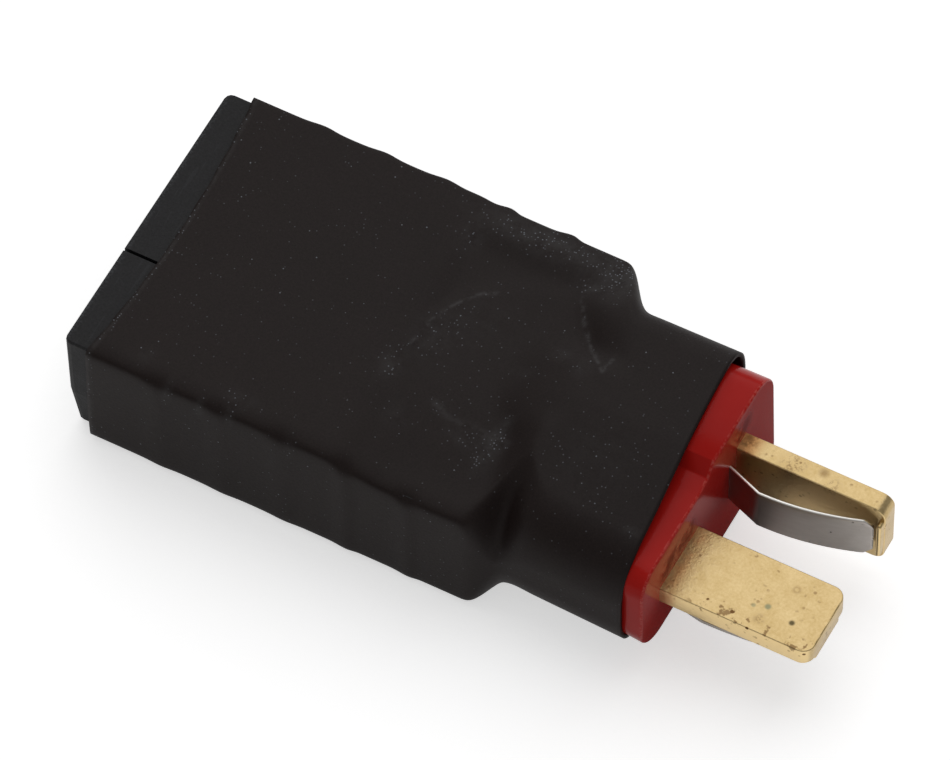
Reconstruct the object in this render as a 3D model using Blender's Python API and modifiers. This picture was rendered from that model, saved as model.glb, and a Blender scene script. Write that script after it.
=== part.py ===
# Battery connector adapter: a flat two-way socket and a two-blade plug, joined end to end
# under one heat-shrink sleeve. Units are metres.
# +X runs from the socket's mouth to the blades' tips, +Y to the side of the upright blade
# and +Z up. The origin is under the middle of the part, on the surface that it rests on.
import math

import bmesh
import bpy
import numpy as np
from mathutils import Matrix

mm = 0.001

# Clearance between pieces that seat on or in each other
fit_gap = 0.05 * mm

# Socket housing: a flat nylon block
housing_width = 18.8 * mm
housing_height = 8.1 * mm
housing_edge = 0.12 * mm
housing_corner = 0.45 * mm
parting_height = 3.0 * mm
upper_draft = 0.18 * mm
lower_draft = 0.3 * mm
slit_offset = -2.55 * mm
slit_width = 0.2 * mm
slit_depth = 0.35 * mm
slit_length = 5.0 * mm

# Its two cavities, side by side, with a web between them and a bulkhead behind them
cavity_depth = 13.2 * mm
cavity_wall = 1.0 * mm
cavity_side_wall = 1.2 * mm
cavity_web = 1.35 * mm
mouth_chamfer = 0.25 * mm
bulkhead = 2.2 * mm

# Behind the bulkhead, the solder wells: open above and to the rear
well_length = 9.4 * mm
web_length = 5.6 * mm
recess_depth = 2.4 * mm
near_rim_drop = 0.5 * mm
far_rim_drop = 0.22 * mm

# Grip ribs on both narrow sides
rib_count = 5
rib_first = 6.15 * mm
rib_pitch = 3.85 * mm
rib_height = 0.2 * mm
rib_rise = 0.8 * mm
rib_land = 0.15 * mm
rib_fall = 0.35 * mm
rib_margin = 1.1 * mm

# Contact strips in the cavities, and the leaf spring on each
strip_side_gap = 0.9 * mm
strip_thickness = 0.65 * mm
strip_setback = 0.9 * mm
strip_corner = 0.8 * mm
tail_width = 3.4 * mm
tail_length = 3.2 * mm
contact_leaf_width = 3.6 * mm
contact_leaf_thickness = 0.2 * mm
contact_leaf_root = 2.0 * mm
contact_leaf_pad = 0.6 * mm
contact_leaf_crest = 0.6 * mm
contact_leaf_crest_run = 6.8 * mm
contact_leaf_tip = 0.52 * mm
contact_leaf_length = 8.8 * mm

# Plug body: low half round the flat blade, tall half round the upright blade
plug_gap = 2.6 * mm
plug_length = 8.2 * mm
plug_lift = 0.1 * mm
plug_shift = -1.05 * mm
plug_width = 16.1 * mm
plug_tall_height = 9.4 * mm
plug_low_height = 7.3 * mm
plug_step = 0.45 * mm
plug_step_run = 0.7 * mm
plug_taper = 0.35 * mm
plug_lean = 0.45 * mm
plug_edge = 0.15 * mm
plug_rear_edge = 0.6 * mm
plug_bare_share = 0.3
plug_front_radii = {"near_bottom": 2.4 * mm, "near_top": 1.5 * mm,
                    "far_top": 2.3 * mm, "far_bottom": 1.4 * mm}
plug_rear_radii = {"near_bottom": 3.0 * mm, "near_top": 2.8 * mm,
                   "far_top": 1.8 * mm, "far_bottom": 2.0 * mm}

# Blades and their leaf springs
blade_reach = 9.1 * mm
blade_width = 4.66 * mm
blade_thickness = 1.2 * mm
blade_seat = 5.0 * mm
blade_corner = 0.75 * mm
blade_edge = 0.13 * mm
blade_tail_width = 3.0 * mm
blade_tail_length = 2.9 * mm
upright_blade_offset = 3.7 * mm
flat_blade_offset = -3.64 * mm
lip_length = 0.45 * mm
lip_depth = 0.55 * mm
leaf_width = 3.15 * mm
leaf_thickness = 0.22 * mm
leaf_root_depth = 1.1 * mm
leaf_root_offset = 0.75 * mm
leaf_bend_run = 2.15 * mm
leaf_bow = 1.55 * mm
leaf_tip_offset = 0.27 * mm
leaf_end_gap = 0.12 * mm
leaf_pocket_gap = 0.15 * mm

# Copper links between the contact tails and the blade tails, and their solder
wire_radius = 0.9 * mm
wire_straight = 2.5 * mm
wire_end_gap = 0.3 * mm
wire_turn_gap = 0.1 * mm
solder_reach = 1.3 * mm
solder_radius = 1.4 * mm

# Heat-shrink sleeve: its wall, its cut ends and the radii of its section's corners
sleeve_wall = 0.25 * mm
sleeve_start = 1.5 * mm
sleeve_bow = 0.75 * mm
bare_plug_near = 1.2 * mm
bare_plug_far = 2.1 * mm
plug_slack = 0.1 * mm
wide_radii = {"near_bottom": 0.75 * mm, "near_top": 0.5 * mm,
              "far_top": 0.3 * mm, "far_bottom": 0.45 * mm}
rib_drape_rise = 1.2 * mm
rib_drape_fall = 0.45 * mm

# Its shoulders, where it steps in from the housing to the plug
shoulder_lead = 0.25 * mm
shoulder_near = 1.55 * mm
shoulder_far = 2.9 * mm
shoulder_rise = 3.2 * mm
waist_dip = 0.2 * mm
waist_run = 1.0 * mm
waist_place = 1.95 * mm
drape = 1.6
drape_start = 2.0 * mm

# Where its top starts and ends the climb to the plug, from the near side to the far side
climb_across = [v * mm for v in (-9.0, -8.0, -6.0, -4.0, -2.8, -1.5, 1.0, 4.0, 6.0, 7.5, 9.0)]
climb_start = [v * mm for v in (25.5, 25.0, 25.1, 25.1, 24.6, 23.2, 22.4, 22.8, 23.8, 24.6, 25.0)]
climb_end = [v * mm for v in (28.0, 27.9, 27.4, 26.9, 27.2, 27.8, 28.1, 28.0, 28.0, 28.1, 28.2)]

# Its sag over the open wells: the sag's front edge and the far edge of the plateau in it
sag_depth = 0.42 * mm
sag_run = 1.1 * mm
sag_front_across = [v * mm for v in (-9.0, 0.9, 2.8, 5.5, 7.2, 9.5)]
sag_front = [v * mm for v in (16.1, 16.1, 16.0, 15.7, 15.4, 15.4)]
sag_back = 24.8 * mm
plateau_along = [v * mm for v in (16.8, 17.1, 17.6, 18.0, 18.8, 19.5, 21.4, 23.3, 24.4)]
plateau_far = [v * mm for v in (0.0, 1.7, 2.7, 3.7, 4.4, 5.0, 5.9, 6.4, 7.0)]
plateau_dip = 0.1 * mm
plateau_edge = 0.9 * mm
rim_crest = 8.05 * mm
rim_run = 1.7 * mm
near_fall_start = -2.35 * mm
near_fall_run = 6.25 * mm

# The crease at its near shoulder
valley_depth = 0.62 * mm
valley_width = 0.75 * mm
valley_start = -1.2 * mm
valley_fade = 3.0 * mm
valley_across = [v * mm for v in (-8.6, -7.0, -5.2, -3.4, -1.8)]
valley_along = [v * mm for v in (26.3, 25.9, 25.5, 25.2, 25.1)]

# Derived sizes and places
housing_length = cavity_depth + bulkhead + well_length
cavity_width = (housing_width - cavity_web) / 2 - cavity_side_wall
strip_width = cavity_width - 2 * strip_side_gap
plug_front = housing_length + plug_gap + plug_length
total_length = plug_front + blade_reach
mouth_x = -total_length / 2
sleeve_skin = sleeve_wall + fit_gap
base_z = sleeve_skin
floor_z = base_z + cavity_wall
strip_top = floor_z + fit_gap + strip_thickness
well_start = cavity_depth + bulkhead
plug_z = base_z + plug_lift + plug_tall_height / 2
cavity_pitch = cavity_width + cavity_web
upright_blade_y = plug_shift + upright_blade_offset
flat_blade_y = plug_shift + flat_blade_offset
blade_tail_end = plug_front - plug_length - blade_tail_length
housing_top = base_z + housing_height
sleeve_top = housing_top + sleeve_skin
plug_skin = sleeve_skin + plug_slack


# Collections

for old in list(bpy.data.objects):
    bpy.data.objects.remove(old)

parts = bpy.data.collections.new("battery_connector_adapter")
cutters = bpy.data.collections.new("cutters")
for collection in (parts, cutters):
    bpy.context.scene.collection.children.link(collection)


# Helpers

def make_material(name, color, roughness, metallic=0.0):
    material = bpy.data.materials.new(name)
    material.use_nodes = True
    shader = material.node_tree.nodes["Principled BSDF"]
    shader.inputs["Base Color"].default_value = (*color, 1.0)
    shader.inputs["Roughness"].default_value = roughness
    shader.inputs["Metallic"].default_value = metallic
    return material


def add_part(name, mesh, material, placement=None, smooth=None):
    part = bpy.data.objects.new(name, mesh)
    parts.objects.link(part)
    mesh.materials.clear()
    mesh.materials.append(material)
    if placement is not None:
        part.matrix_world = placement
    if smooth is not None:
        mesh.shade_smooth()
        mesh.set_sharp_from_angle(angle=math.radians(smooth))
    return part


def add_cutter(name, mesh, placement=None):
    cutter = bpy.data.objects.new(name, mesh)
    cutters.objects.link(cutter)
    cutter.hide_render = True
    cutter.display_type = "WIRE"
    if placement is not None:
        cutter.matrix_world = placement
    return cutter


def boolean(part, cutter, operation="DIFFERENCE"):
    modifier = part.modifiers.new(operation.lower() + "_" + cutter.name, "BOOLEAN")
    modifier.operation = operation
    modifier.object = cutter


def bevel(part, width, segments=2, angle=50):
    modifier = part.modifiers.new("rounded_edges", "BEVEL")
    modifier.width = width
    modifier.segments = segments
    modifier.limit_method = "ANGLE"
    modifier.angle_limit = math.radians(angle)
    modifier.use_clamp_overlap = False


def box_mesh(name, low, high):
    # A cube stretched between two corners
    mesh = bpy.data.meshes.new(name)
    bm = bmesh.new()
    bmesh.ops.create_cube(bm, size=1.0)
    size = [b - a for a, b in zip(low, high)]
    middle = [(a + b) / 2 for a, b in zip(low, high)]
    bmesh.ops.transform(bm, matrix=Matrix.Translation(middle) @ Matrix.Diagonal((*size, 1)),
                        verts=bm.verts)
    bm.to_mesh(mesh)
    bm.free()
    return mesh


def curve_mesh(name, curve):
    # The evaluated curve as a mesh, with its loose caps welded
    holder = bpy.data.objects.new(name, curve)
    bpy.context.scene.collection.objects.link(holder)
    depsgraph = bpy.context.evaluated_depsgraph_get()
    mesh = bpy.data.meshes.new_from_object(holder.evaluated_get(depsgraph))
    bpy.data.objects.remove(holder)
    bm = bmesh.new()
    bm.from_mesh(mesh)
    bmesh.ops.remove_doubles(bm, verts=bm.verts, dist=1e-7)
    bmesh.ops.recalc_face_normals(bm, faces=bm.faces)
    bm.to_mesh(mesh)
    bm.free()
    return mesh


def plate_mesh(name, outlines, thickness):
    # Flat outlines, filled and made a plate centred on z = 0
    curve = bpy.data.curves.new(name, "CURVE")
    curve.dimensions = "2D"
    curve.fill_mode = "BOTH"
    curve.extrude = thickness / 2
    for outline in outlines:
        spline = curve.splines.new("POLY")
        spline.points.add(len(outline) - 1)
        for point, (x, y) in zip(spline.points, outline):
            point.co = (x, y, 0.0, 1.0)
        spline.use_cyclic_u = True
    return curve_mesh(name, curve)


def tube_mesh(name, route, radius):
    # A round tube along a route of points, with filled caps
    curve = bpy.data.curves.new(name, "CURVE")
    curve.dimensions = "3D"
    curve.bevel_depth = radius
    curve.bevel_resolution = 2
    curve.use_fill_caps = True
    spline = curve.splines.new("POLY")
    spline.points.add(len(route) - 1)
    for point, place in zip(spline.points, route):
        point.co = (*place, 1.0)
    return curve_mesh(name, curve)


def arc(center, radius, start, end, steps):
    # Points of an arc, both ends included, angles in degrees
    turns = np.radians(np.linspace(start, end, steps + 1))
    return [(center[0] + radius * math.cos(t), center[1] + radius * math.sin(t)) for t in turns]


def smooth_step(value):
    value = np.clip(value, 0.0, 1.0)
    return value * value * (3 - 2 * value)


def mix(a, b, share):
    return a + (b - a) * share


def loft_mesh(name, rings, closed_ends):
    # Quads between neighbouring rings of equally many points
    count = len(rings[0])
    points = [tuple(p) for ring in rings for p in ring]
    faces = []
    for row in range(len(rings) - 1):
        for i in range(count):
            j = (i + 1) % count
            faces.append((row * count + i, row * count + j,
                          (row + 1) * count + j, (row + 1) * count + i))
    if closed_ends:
        last = (len(rings) - 1) * count
        faces.append(tuple(range(count)))
        faces.append(tuple(range(last, last + count)))
    mesh = bpy.data.meshes.new(name)
    mesh.from_pydata(points, [], faces)
    bm = bmesh.new()
    bm.from_mesh(mesh)
    bmesh.ops.recalc_face_normals(bm, faces=bm.faces)
    bm.to_mesh(mesh)
    bm.free()
    return mesh


def strip_mesh(name, path, width):
    # An open strip: a path in x and z, swept across its width in y
    points = [(x, side * width / 2, z) for side in (-1, 1) for x, z in path]
    count = len(path)
    faces = [(i, i + 1, count + i + 1, count + i) for i in range(count - 1)]
    mesh = bpy.data.meshes.new(name)
    mesh.from_pydata(points, [], faces)
    return mesh


def thicken(part, thickness, offset):
    modifier = part.modifiers.new("wall", "SOLIDIFY")
    modifier.thickness = thickness
    modifier.offset = offset
    modifier.use_even_offset = True


# Materials, with the colours that the photo shows

black_nylon = make_material("black_nylon", (0.020, 0.020, 0.024), 0.45)
black_shrink = make_material("black_shrink", (0.024, 0.019, 0.018), 0.55)
red_nylon = make_material("red_nylon", (0.30, 0.018, 0.018), 0.22)
gold_brass = make_material("gold_brass", (0.80, 0.55, 0.26), 0.30, 1.0)
spring_steel = make_material("spring_steel", (0.56, 0.54, 0.51), 0.32, 1.0)
tinned_copper = make_material("tinned_copper", (0.60, 0.48, 0.40), 0.35, 1.0)
solder_metal = make_material("solder_metal", (0.62, 0.62, 0.62), 0.38, 1.0)


# Socket housing

def housing_block():
    # Rounded corners at the mouth; the sides taper downwards, more below the parting line
    mesh = box_mesh("housing_block",
                    (mouth_x, -housing_width / 2, base_z),
                    (mouth_x + housing_length, housing_width / 2, housing_top))
    bm = bmesh.new()
    bm.from_mesh(mesh)
    corners = [e for e in bm.edges if all(v.co.x < 0.99 * mouth_x for v in e.verts)
               and abs(e.verts[0].co.z - e.verts[1].co.z) > housing_height / 2]
    bmesh.ops.bevel(bm, geom=corners, offset=housing_corner, segments=3, profile=0.5,
                    affect="EDGES")
    everything = list(bm.verts) + list(bm.edges) + list(bm.faces)
    bmesh.ops.bisect_plane(bm, geom=everything, plane_co=(0, 0, base_z + parting_height),
                           plane_no=(0, 0, 1))
    for vert in bm.verts:
        height = vert.co.z - base_z
        if height < parting_height + housing_edge:
            vert.co.y -= math.copysign(upper_draft, vert.co.y)
        if height < parting_height / 2:
            vert.co.y -= math.copysign(lower_draft, vert.co.y)
            if vert.co.x < mouth_x + housing_length / 2:
                vert.co.x += lower_draft
    bm.to_mesh(mesh)
    bm.free()
    return mesh


def rib_outline(index, side):
    # In plan: a gentle rise, a short land and a steep fall
    x = mouth_x + rib_first + index * rib_pitch
    wall = housing_width / 2
    root = wall - upper_draft - lower_draft - housing_edge
    top = wall + rib_height
    points = [(x - rib_rise, root), (x - rib_rise, wall), (x - rib_land, top), (x, top),
              (x + rib_fall, wall), (x + rib_fall, root)]
    return [(px, side * py) for px, py in points]


def mouth_frustum(y):
    # The chamfer round one cavity's mouth
    low = (mouth_x - mouth_chamfer, y - cavity_width / 2, floor_z)
    high = (mouth_x + mouth_chamfer, y + cavity_width / 2, housing_top - cavity_wall)
    mesh = box_mesh("mouth_frustum", low, high)
    middle_z = (low[2] + high[2]) / 2
    for vert in mesh.vertices:
        if vert.co.x < mouth_x:
            vert.co.y += math.copysign(2 * mouth_chamfer, vert.co.y - y)
            vert.co.z += math.copysign(2 * mouth_chamfer, vert.co.z - middle_z)
    return mesh


def make_housing():
    housing = add_part("socket_housing", housing_block(), black_nylon)
    past = 2 * housing_height
    bevel(housing, housing_edge)
    for name, side, drop in (("near", -1, near_rim_drop), ("far", 1, far_rim_drop)):
        rim = box_mesh("rim_" + name,
                       (mouth_x + well_start, min(side * past, 0.0), housing_top - drop),
                       (mouth_x + housing_length + past, max(side * past, 0.0), past))
        boolean(housing, add_cutter("rim_" + name, rim))
    outlines = [rib_outline(i, side) for i in range(rib_count) for side in (-1, 1)]
    ribs = add_cutter("grip_ribs",
                      plate_mesh("grip_ribs", outlines, housing_height - 2 * rib_margin),
                      Matrix.Translation((0, 0, base_z + housing_height / 2)))
    boolean(housing, ribs, "UNION")
    roof = housing_top - cavity_wall
    for name, side in (("near", -1), ("far", 1)):
        y = side * cavity_pitch / 2
        half = cavity_width / 2
        cavity = box_mesh("cavity_" + name, (mouth_x - past, y - half, floor_z),
                          (mouth_x + cavity_depth, y + half, roof))
        boolean(housing, add_cutter("cavity_" + name, cavity))
        boolean(housing, add_cutter("mouth_" + name, mouth_frustum(y)))
        slot_half = tail_width / 2 + fit_gap
        slot = box_mesh("tail_slot_" + name,
                        (mouth_x + cavity_depth - bulkhead / 2, y - slot_half, floor_z),
                        (mouth_x + well_start + bulkhead / 2, y + slot_half,
                         strip_top + fit_gap))
        boolean(housing, add_cutter("tail_slot_" + name, slot))
        well = box_mesh("well_" + name, (mouth_x + well_start, y - half, floor_z),
                        (mouth_x + housing_length + past, y + half, base_z + past))
        boolean(housing, add_cutter("well_" + name, well))
    reach = cavity_pitch / 2 + cavity_width / 2
    recess = box_mesh("rear_recess",
                      (mouth_x + well_start, -reach, housing_top - recess_depth),
                      (mouth_x + housing_length + past, reach, base_z + past))
    boolean(housing, add_cutter("rear_recess", recess))
    gate = box_mesh("web_end", (mouth_x + well_start + web_length, -reach, floor_z),
                    (mouth_x + housing_length + past, reach, base_z + past))
    boolean(housing, add_cutter("web_end", gate))
    slit = box_mesh("top_slit",
                    (mouth_x - slit_length, slit_offset - slit_width / 2,
                     housing_top - slit_depth),
                    (mouth_x + slit_length, slit_offset + slit_width / 2,
                     housing_top + slit_depth))
    boolean(housing, add_cutter("top_slit", slit))


# Contact strips and their springs

def strip_outline():
    # From the rounded nose back to the tail's rounded end, in x from the mouth
    half = strip_width / 2
    tail = tail_width / 2
    back = cavity_depth - fit_gap
    end = well_start + tail_length
    nose = strip_setback + strip_corner
    heel = end - tail / 2
    points = arc((nose, half - strip_corner), strip_corner, 180, 90, 4)
    points += [(back, half), (back, tail)]
    points += arc((heel, tail / 2), tail / 2, 90, 0, 4)
    mirrored = [(x, -y) for x, y in reversed(points)]
    return points + mirrored


def contact_leaf_path():
    # From the fixed pad at x = 0 towards the mouth, heights above the strip.
    # It climbs to the crest and dips a little at its free tip.
    lift = contact_leaf_thickness / 2
    pad = [(contact_leaf_pad, fit_gap + lift), (0.0, fit_gap + lift),
           (-contact_leaf_pad, fit_gap + lift)]
    climb = []
    for share in np.linspace(0, 1, 7)[1:]:
        x = mix(-contact_leaf_pad, -contact_leaf_crest_run, share)
        climb.append((x, lift + mix(fit_gap, contact_leaf_crest, float(smooth_step(share)))))
    dip = []
    for share in (0.4, 0.75, 1.0):
        x = mix(-contact_leaf_crest_run, -contact_leaf_length, share)
        dip.append((x, lift + mix(contact_leaf_crest, contact_leaf_tip, share * share)))
    return pad + climb + dip


def make_contact(name, side):
    y = side * cavity_pitch / 2
    strip = add_part("socket_contact_" + name,
                     plate_mesh("socket_contact_" + name, [strip_outline()], strip_thickness),
                     gold_brass,
                     Matrix.Translation((mouth_x, y, strip_top - strip_thickness / 2)))
    bevel(strip, blade_edge, 1)
    root_x = mouth_x + cavity_depth - contact_leaf_root
    leaf = add_part("contact_spring_" + name,
                    strip_mesh("contact_spring_" + name, contact_leaf_path(),
                               contact_leaf_width),
                    spring_steel, Matrix.Translation((root_x, y, strip_top)), 40)
    thicken(leaf, contact_leaf_thickness, 0)


# Plug body

def plug_outline(inset, rear_share):
    # Half-way section of the body, as y and z from its middle: the tall half is on the far
    # side, the low half on the near side, and a sloped step joins them above and below
    radii = {key: max(mix(plug_front_radii[key], plug_rear_radii[key], rear_share) - inset,
                      plug_edge) for key in plug_front_radii}
    near = -plug_width / 2 + inset + plug_taper * rear_share
    far = plug_width / 2 - inset - plug_taper * rear_share
    tall = plug_tall_height / 2 - inset
    low = plug_low_height / 2 - inset
    slope = (tall - low) / 2
    step = [(plug_step - 2.6 * plug_step_run, low),
            (plug_step - plug_step_run, low + 0.4 * slope), (plug_step, tall)]
    r = radii["near_bottom"]
    points = arc((near + r, -low + r), r, 270, 180, 5)
    r = radii["near_top"]
    points += arc((near + r, low - r), r, 180, 90, 5)
    points += step
    r = radii["far_top"]
    points += arc((far - r, tall - r), r, 90, 0, 5)
    r = radii["far_bottom"]
    points += arc((far - r, -tall + r), r, 0, -90, 5)
    points += [(y, -z) for y, z in reversed(step)]
    # The far side leans in towards the top
    return [(y - plug_lean * (z + tall) / (2 * tall) * float(smooth_step(2 * y / plug_width)), z)
            for y, z in points]


def plug_ring(x, inset, rear_share):
    return [(mouth_x + x, plug_shift + y, plug_z + z)
            for y, z in plug_outline(inset, rear_share)]


def make_plug_body():
    rear = housing_length + plug_gap
    bare = plug_front - bare_plug_near
    rings = [plug_ring(rear, plug_rear_edge, 1.0),
             plug_ring(rear + plug_rear_edge, 0.0, 1.0),
             plug_ring(bare, 0.0, plug_bare_share),
             plug_ring(plug_front - plug_edge, 0.0, 0.0),
             plug_ring(plug_front, plug_edge, 0.0)]
    body = add_part("plug_body", loft_mesh("plug_body", rings, True), red_nylon, None, 35)
    pocket_low = -blade_thickness / 2 - leaf_root_offset - leaf_thickness / 2 - fit_gap
    pocket_half = leaf_width / 2 + leaf_pocket_gap
    for name, placement in blade_placements():
        slot = plate_mesh("slot_" + name, [blade_outline(fit_gap)],
                          blade_thickness + 2 * fit_gap)
        boolean(body, add_cutter("slot_" + name, slot, placement))
        pocket = box_mesh("pocket_" + name,
                          (-leaf_root_depth - leaf_pocket_gap, -pocket_half, pocket_low),
                          (blade_reach, pocket_half, 0.0))
        boolean(body, add_cutter("pocket_" + name, pocket, placement))


# Blades: x from the plug's front face, y across the blade, z through it, spring below

def blade_placements():
    front_x = mouth_x + plug_front
    turn = Matrix.Rotation(math.radians(-90), 4, "X")
    return (("flat", Matrix.Translation((front_x, flat_blade_y, plug_z))),
            ("upright", Matrix.Translation((front_x, upright_blade_y, plug_z)) @ turn))


def blade_outline(grow):
    half = blade_width / 2 + grow
    tail = blade_tail_width / 2 + grow
    tail_end = -plug_length - blade_tail_length - grow
    seat = -blade_seat - grow
    tip = blade_reach + grow
    points = [(tail_end, tail), (seat, tail), (seat, half)]
    points += arc((tip - blade_corner, half - blade_corner), blade_corner, 90, 0, 4)
    mirrored = [(x, -y) for x, y in reversed(points)]
    return points + mirrored


def leaf_path():
    # From the tip's hinge line at x = 0 back to the root in the body: a shallow bow from
    # the tip to a sharp bend, then a straight run into the body
    pivot = blade_reach - lip_length - leaf_end_gap
    face = leaf_tip_offset
    points = []
    for share in np.linspace(1, 0, 9):
        x = mix(leaf_bend_run, pivot, share)
        depth = mix(leaf_bow, leaf_tip_offset, share * share)
        points.append((x - pivot, face - depth))
    points.append((-pivot, face - leaf_root_offset))
    points.append((-leaf_root_depth - pivot, face - leaf_root_offset))
    return points


def make_blade(name, placement):
    blade = add_part(name + "_blade",
                     plate_mesh(name + "_blade", [blade_outline(0.0)], blade_thickness),
                     gold_brass, placement)
    bevel(blade, blade_edge, 2)
    low = -blade_thickness / 2 - lip_depth
    lip = box_mesh("lip_" + name, (blade_reach - lip_length, -leaf_width / 2, low),
                   (blade_reach - blade_edge, leaf_width / 2, 0.0))
    boolean(blade, add_cutter("lip_" + name, lip, placement), "UNION")
    pivot = blade_reach - lip_length - leaf_end_gap
    hinge = Matrix.Translation((pivot, 0, -blade_thickness / 2 - leaf_tip_offset))
    leaf = add_part(name + "_blade_spring",
                    strip_mesh(name + "_blade_spring", leaf_path(), leaf_width),
                    spring_steel, placement @ hinge, 25)
    thicken(leaf, leaf_thickness, 0)


# Copper links and solder joints

def link_route(start, end):
    # Straight on the contact's tail, one smooth S and straight along the blade's tail
    points = [(mouth_x + start[0], start[1], start[2])]
    turn_start = start[0] + wire_straight
    turn_end = blade_tail_end - wire_turn_gap
    for share in np.linspace(0, 1, 11):
        bend = float(smooth_step(share))
        points.append((mouth_x + mix(turn_start, turn_end, share),
                       mix(start[1], end[1], bend), mix(start[2], end[2], bend)))
    points.append((mouth_x + end[0], end[1], end[2]))
    return points


def solder_mesh(name, center, below):
    # A mound on its tab: a squat ball with the tab's side cut flat
    mesh = bpy.data.meshes.new(name)
    bm = bmesh.new()
    bmesh.ops.create_uvsphere(bm, u_segments=12, v_segments=8, radius=1.0)
    size = Matrix.Diagonal((solder_reach, solder_radius, solder_radius, 1))
    bmesh.ops.transform(bm, matrix=Matrix.Translation(center) @ size, verts=bm.verts)
    everything = list(bm.verts) + list(bm.edges) + list(bm.faces)
    cut = bmesh.ops.bisect_plane(bm, geom=everything, plane_co=below[0], plane_no=below[1],
                                 clear_inner=True)
    rim = [item for item in cut["geom_cut"] if isinstance(item, bmesh.types.BMEdge)]
    bmesh.ops.edgeloop_fill(bm, edges=rim)
    bmesh.ops.recalc_face_normals(bm, faces=bm.faces)
    bm.to_mesh(mesh)
    bm.free()
    return mesh


def make_link(name, side, end, tail_side):
    # tail_side points from the blade's tail to the wire beside it
    y = side * cavity_pitch / 2
    start = (well_start + wire_end_gap, y, strip_top + fit_gap + wire_radius)
    route = link_route(start, end)
    add_part("link_wire_" + name, tube_mesh("link_wire_" + name, route, wire_radius),
             tinned_copper, None, 40)
    bore = add_cutter("wire_bore_" + name,
                      tube_mesh("wire_bore_" + name, route, wire_radius + fit_gap))
    contact_center = (mouth_x + start[0] + solder_reach + wire_turn_gap, start[1], start[2])
    above_tab = (0, 0, strip_top + fit_gap)
    joint = add_part("solder_contact_" + name,
                     solder_mesh("solder_contact_" + name, contact_center,
                                 (above_tab, (0, 0, 1))), solder_metal, None, 60)
    boolean(joint, bore)
    tail_middle = end[0] - solder_reach - wire_turn_gap
    blade_center = (mouth_x + tail_middle, end[1], end[2])
    beside = (mouth_x + tail_middle, end[1] - tail_side[1] * wire_radius,
              end[2] - tail_side[2] * wire_radius)
    joint = add_part("solder_blade_" + name,
                     solder_mesh("solder_blade_" + name, blade_center, (beside, tail_side)),
                     solder_metal, None, 60)
    boolean(joint, bore)


def make_links():
    # The near wire runs under the flat blade's tail, the far one beside the upright tail
    off = blade_thickness / 2 + fit_gap + wire_radius
    end_x = housing_length + plug_gap - wire_end_gap
    make_link("near", -1, (end_x, flat_blade_y, plug_z - off), (0, 0, -1))
    make_link("far", 1, (end_x, upright_blade_y - off, plug_z), (0, -1, 0))


# Heat-shrink sleeve

def rib_bump(x):
    # How far the ribs push the sleeve's sides out at x from the mouth
    bump = 0.0
    for index in range(rib_count):
        along = x - (rib_first + index * rib_pitch)
        rise = smooth_step((along + rib_drape_rise) / rib_drape_rise)
        fall = 1 - smooth_step((along - fit_gap) / rib_drape_fall)
        bump = max(bump, float(rise * fall))
    return rib_height * bump


def top_lift(x, y, near):
    # Height of the sleeve's top over its level part: the climb to the plug, draped down to
    # the near side, less the sag with its plateau, the falling rims and the crease
    start = np.interp(y, climb_across, climb_start)
    end = np.interp(y, climb_across, climb_end)
    climb = smooth_step((x - start) / (end - start))
    low = plug_z + plug_low_height / 2 + plug_skin - sleeve_top
    high = plug_z + plug_tall_height / 2 + plug_skin - sleeve_top
    share = np.clip((y - near - drape_start) / (plug_shift + plug_step - near - drape_start),
                    0, 1)
    plug_rise = mix(low, high, 1 - (1 - share) ** drape)
    front = np.interp(y, sag_front_across, sag_front)
    plateau = smooth_step((np.interp(x, plateau_along, plateau_far) - y) / plateau_edge + 0.5)
    inside = smooth_step((x - front) / sag_run) * smooth_step((sag_back - x) / sag_run)
    inside = inside * smooth_step((rim_crest - y) / sag_run)
    sag = inside * mix(sag_depth, plateau_dip, plateau)
    rims = smooth_step((x - well_start) / (2 * sag_run))
    far_fall = far_rim_drop * smooth_step((y - rim_crest) / rim_run)
    near_fall = (near_rim_drop - 2 * fit_gap) * smooth_step(
        (near_fall_start - y) / near_fall_run)
    valley_x = np.interp(y, valley_across, valley_along)
    valley = np.exp(-((x - valley_x) / valley_width) ** 2)
    valley = valley_depth * valley * smooth_step((valley_start - y) / valley_fade)
    return plug_rise * climb - (sag + rims * (far_fall + near_fall)) * (1 - climb) - valley


def sleeve_box(x):
    # Sides, lowest level and corner radii of the sleeve's section at x
    bump = rib_bump(x)
    half = housing_width / 2 + sleeve_skin
    shoulder = housing_length + shoulder_lead
    near_share = smooth_step((x - shoulder) / shoulder_near)
    far_share = smooth_step((x - shoulder) / shoulder_far)
    rear = np.clip((plug_front - bare_plug_near - x) / (plug_length - bare_plug_near), 0, 1)
    rear_share = mix(plug_bare_share, 1.0, rear)
    plug_half = plug_width / 2 - plug_taper * rear_share + plug_skin
    waist_x = housing_length + waist_place
    waist = waist_dip * math.exp(-((x - waist_x) / waist_run) ** 2)
    near = mix(-half - bump, plug_shift - plug_half + waist, near_share)
    far = mix(half + bump, plug_shift + plug_half - waist / 2, far_share)
    low_near = mix(0.0, plug_z - plug_low_height / 2 - plug_skin,
                   smooth_step((x - shoulder) / shoulder_rise))
    radii = {}
    for key, wide_radius in wide_radii.items():
        plug_radius = mix(plug_front_radii[key], plug_rear_radii[key], rear_share)
        share = near_share if key.startswith("near") else far_share
        radii[key] = mix(wide_radius, plug_radius + plug_skin, share)
    return near, far, low_near, radii


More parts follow.
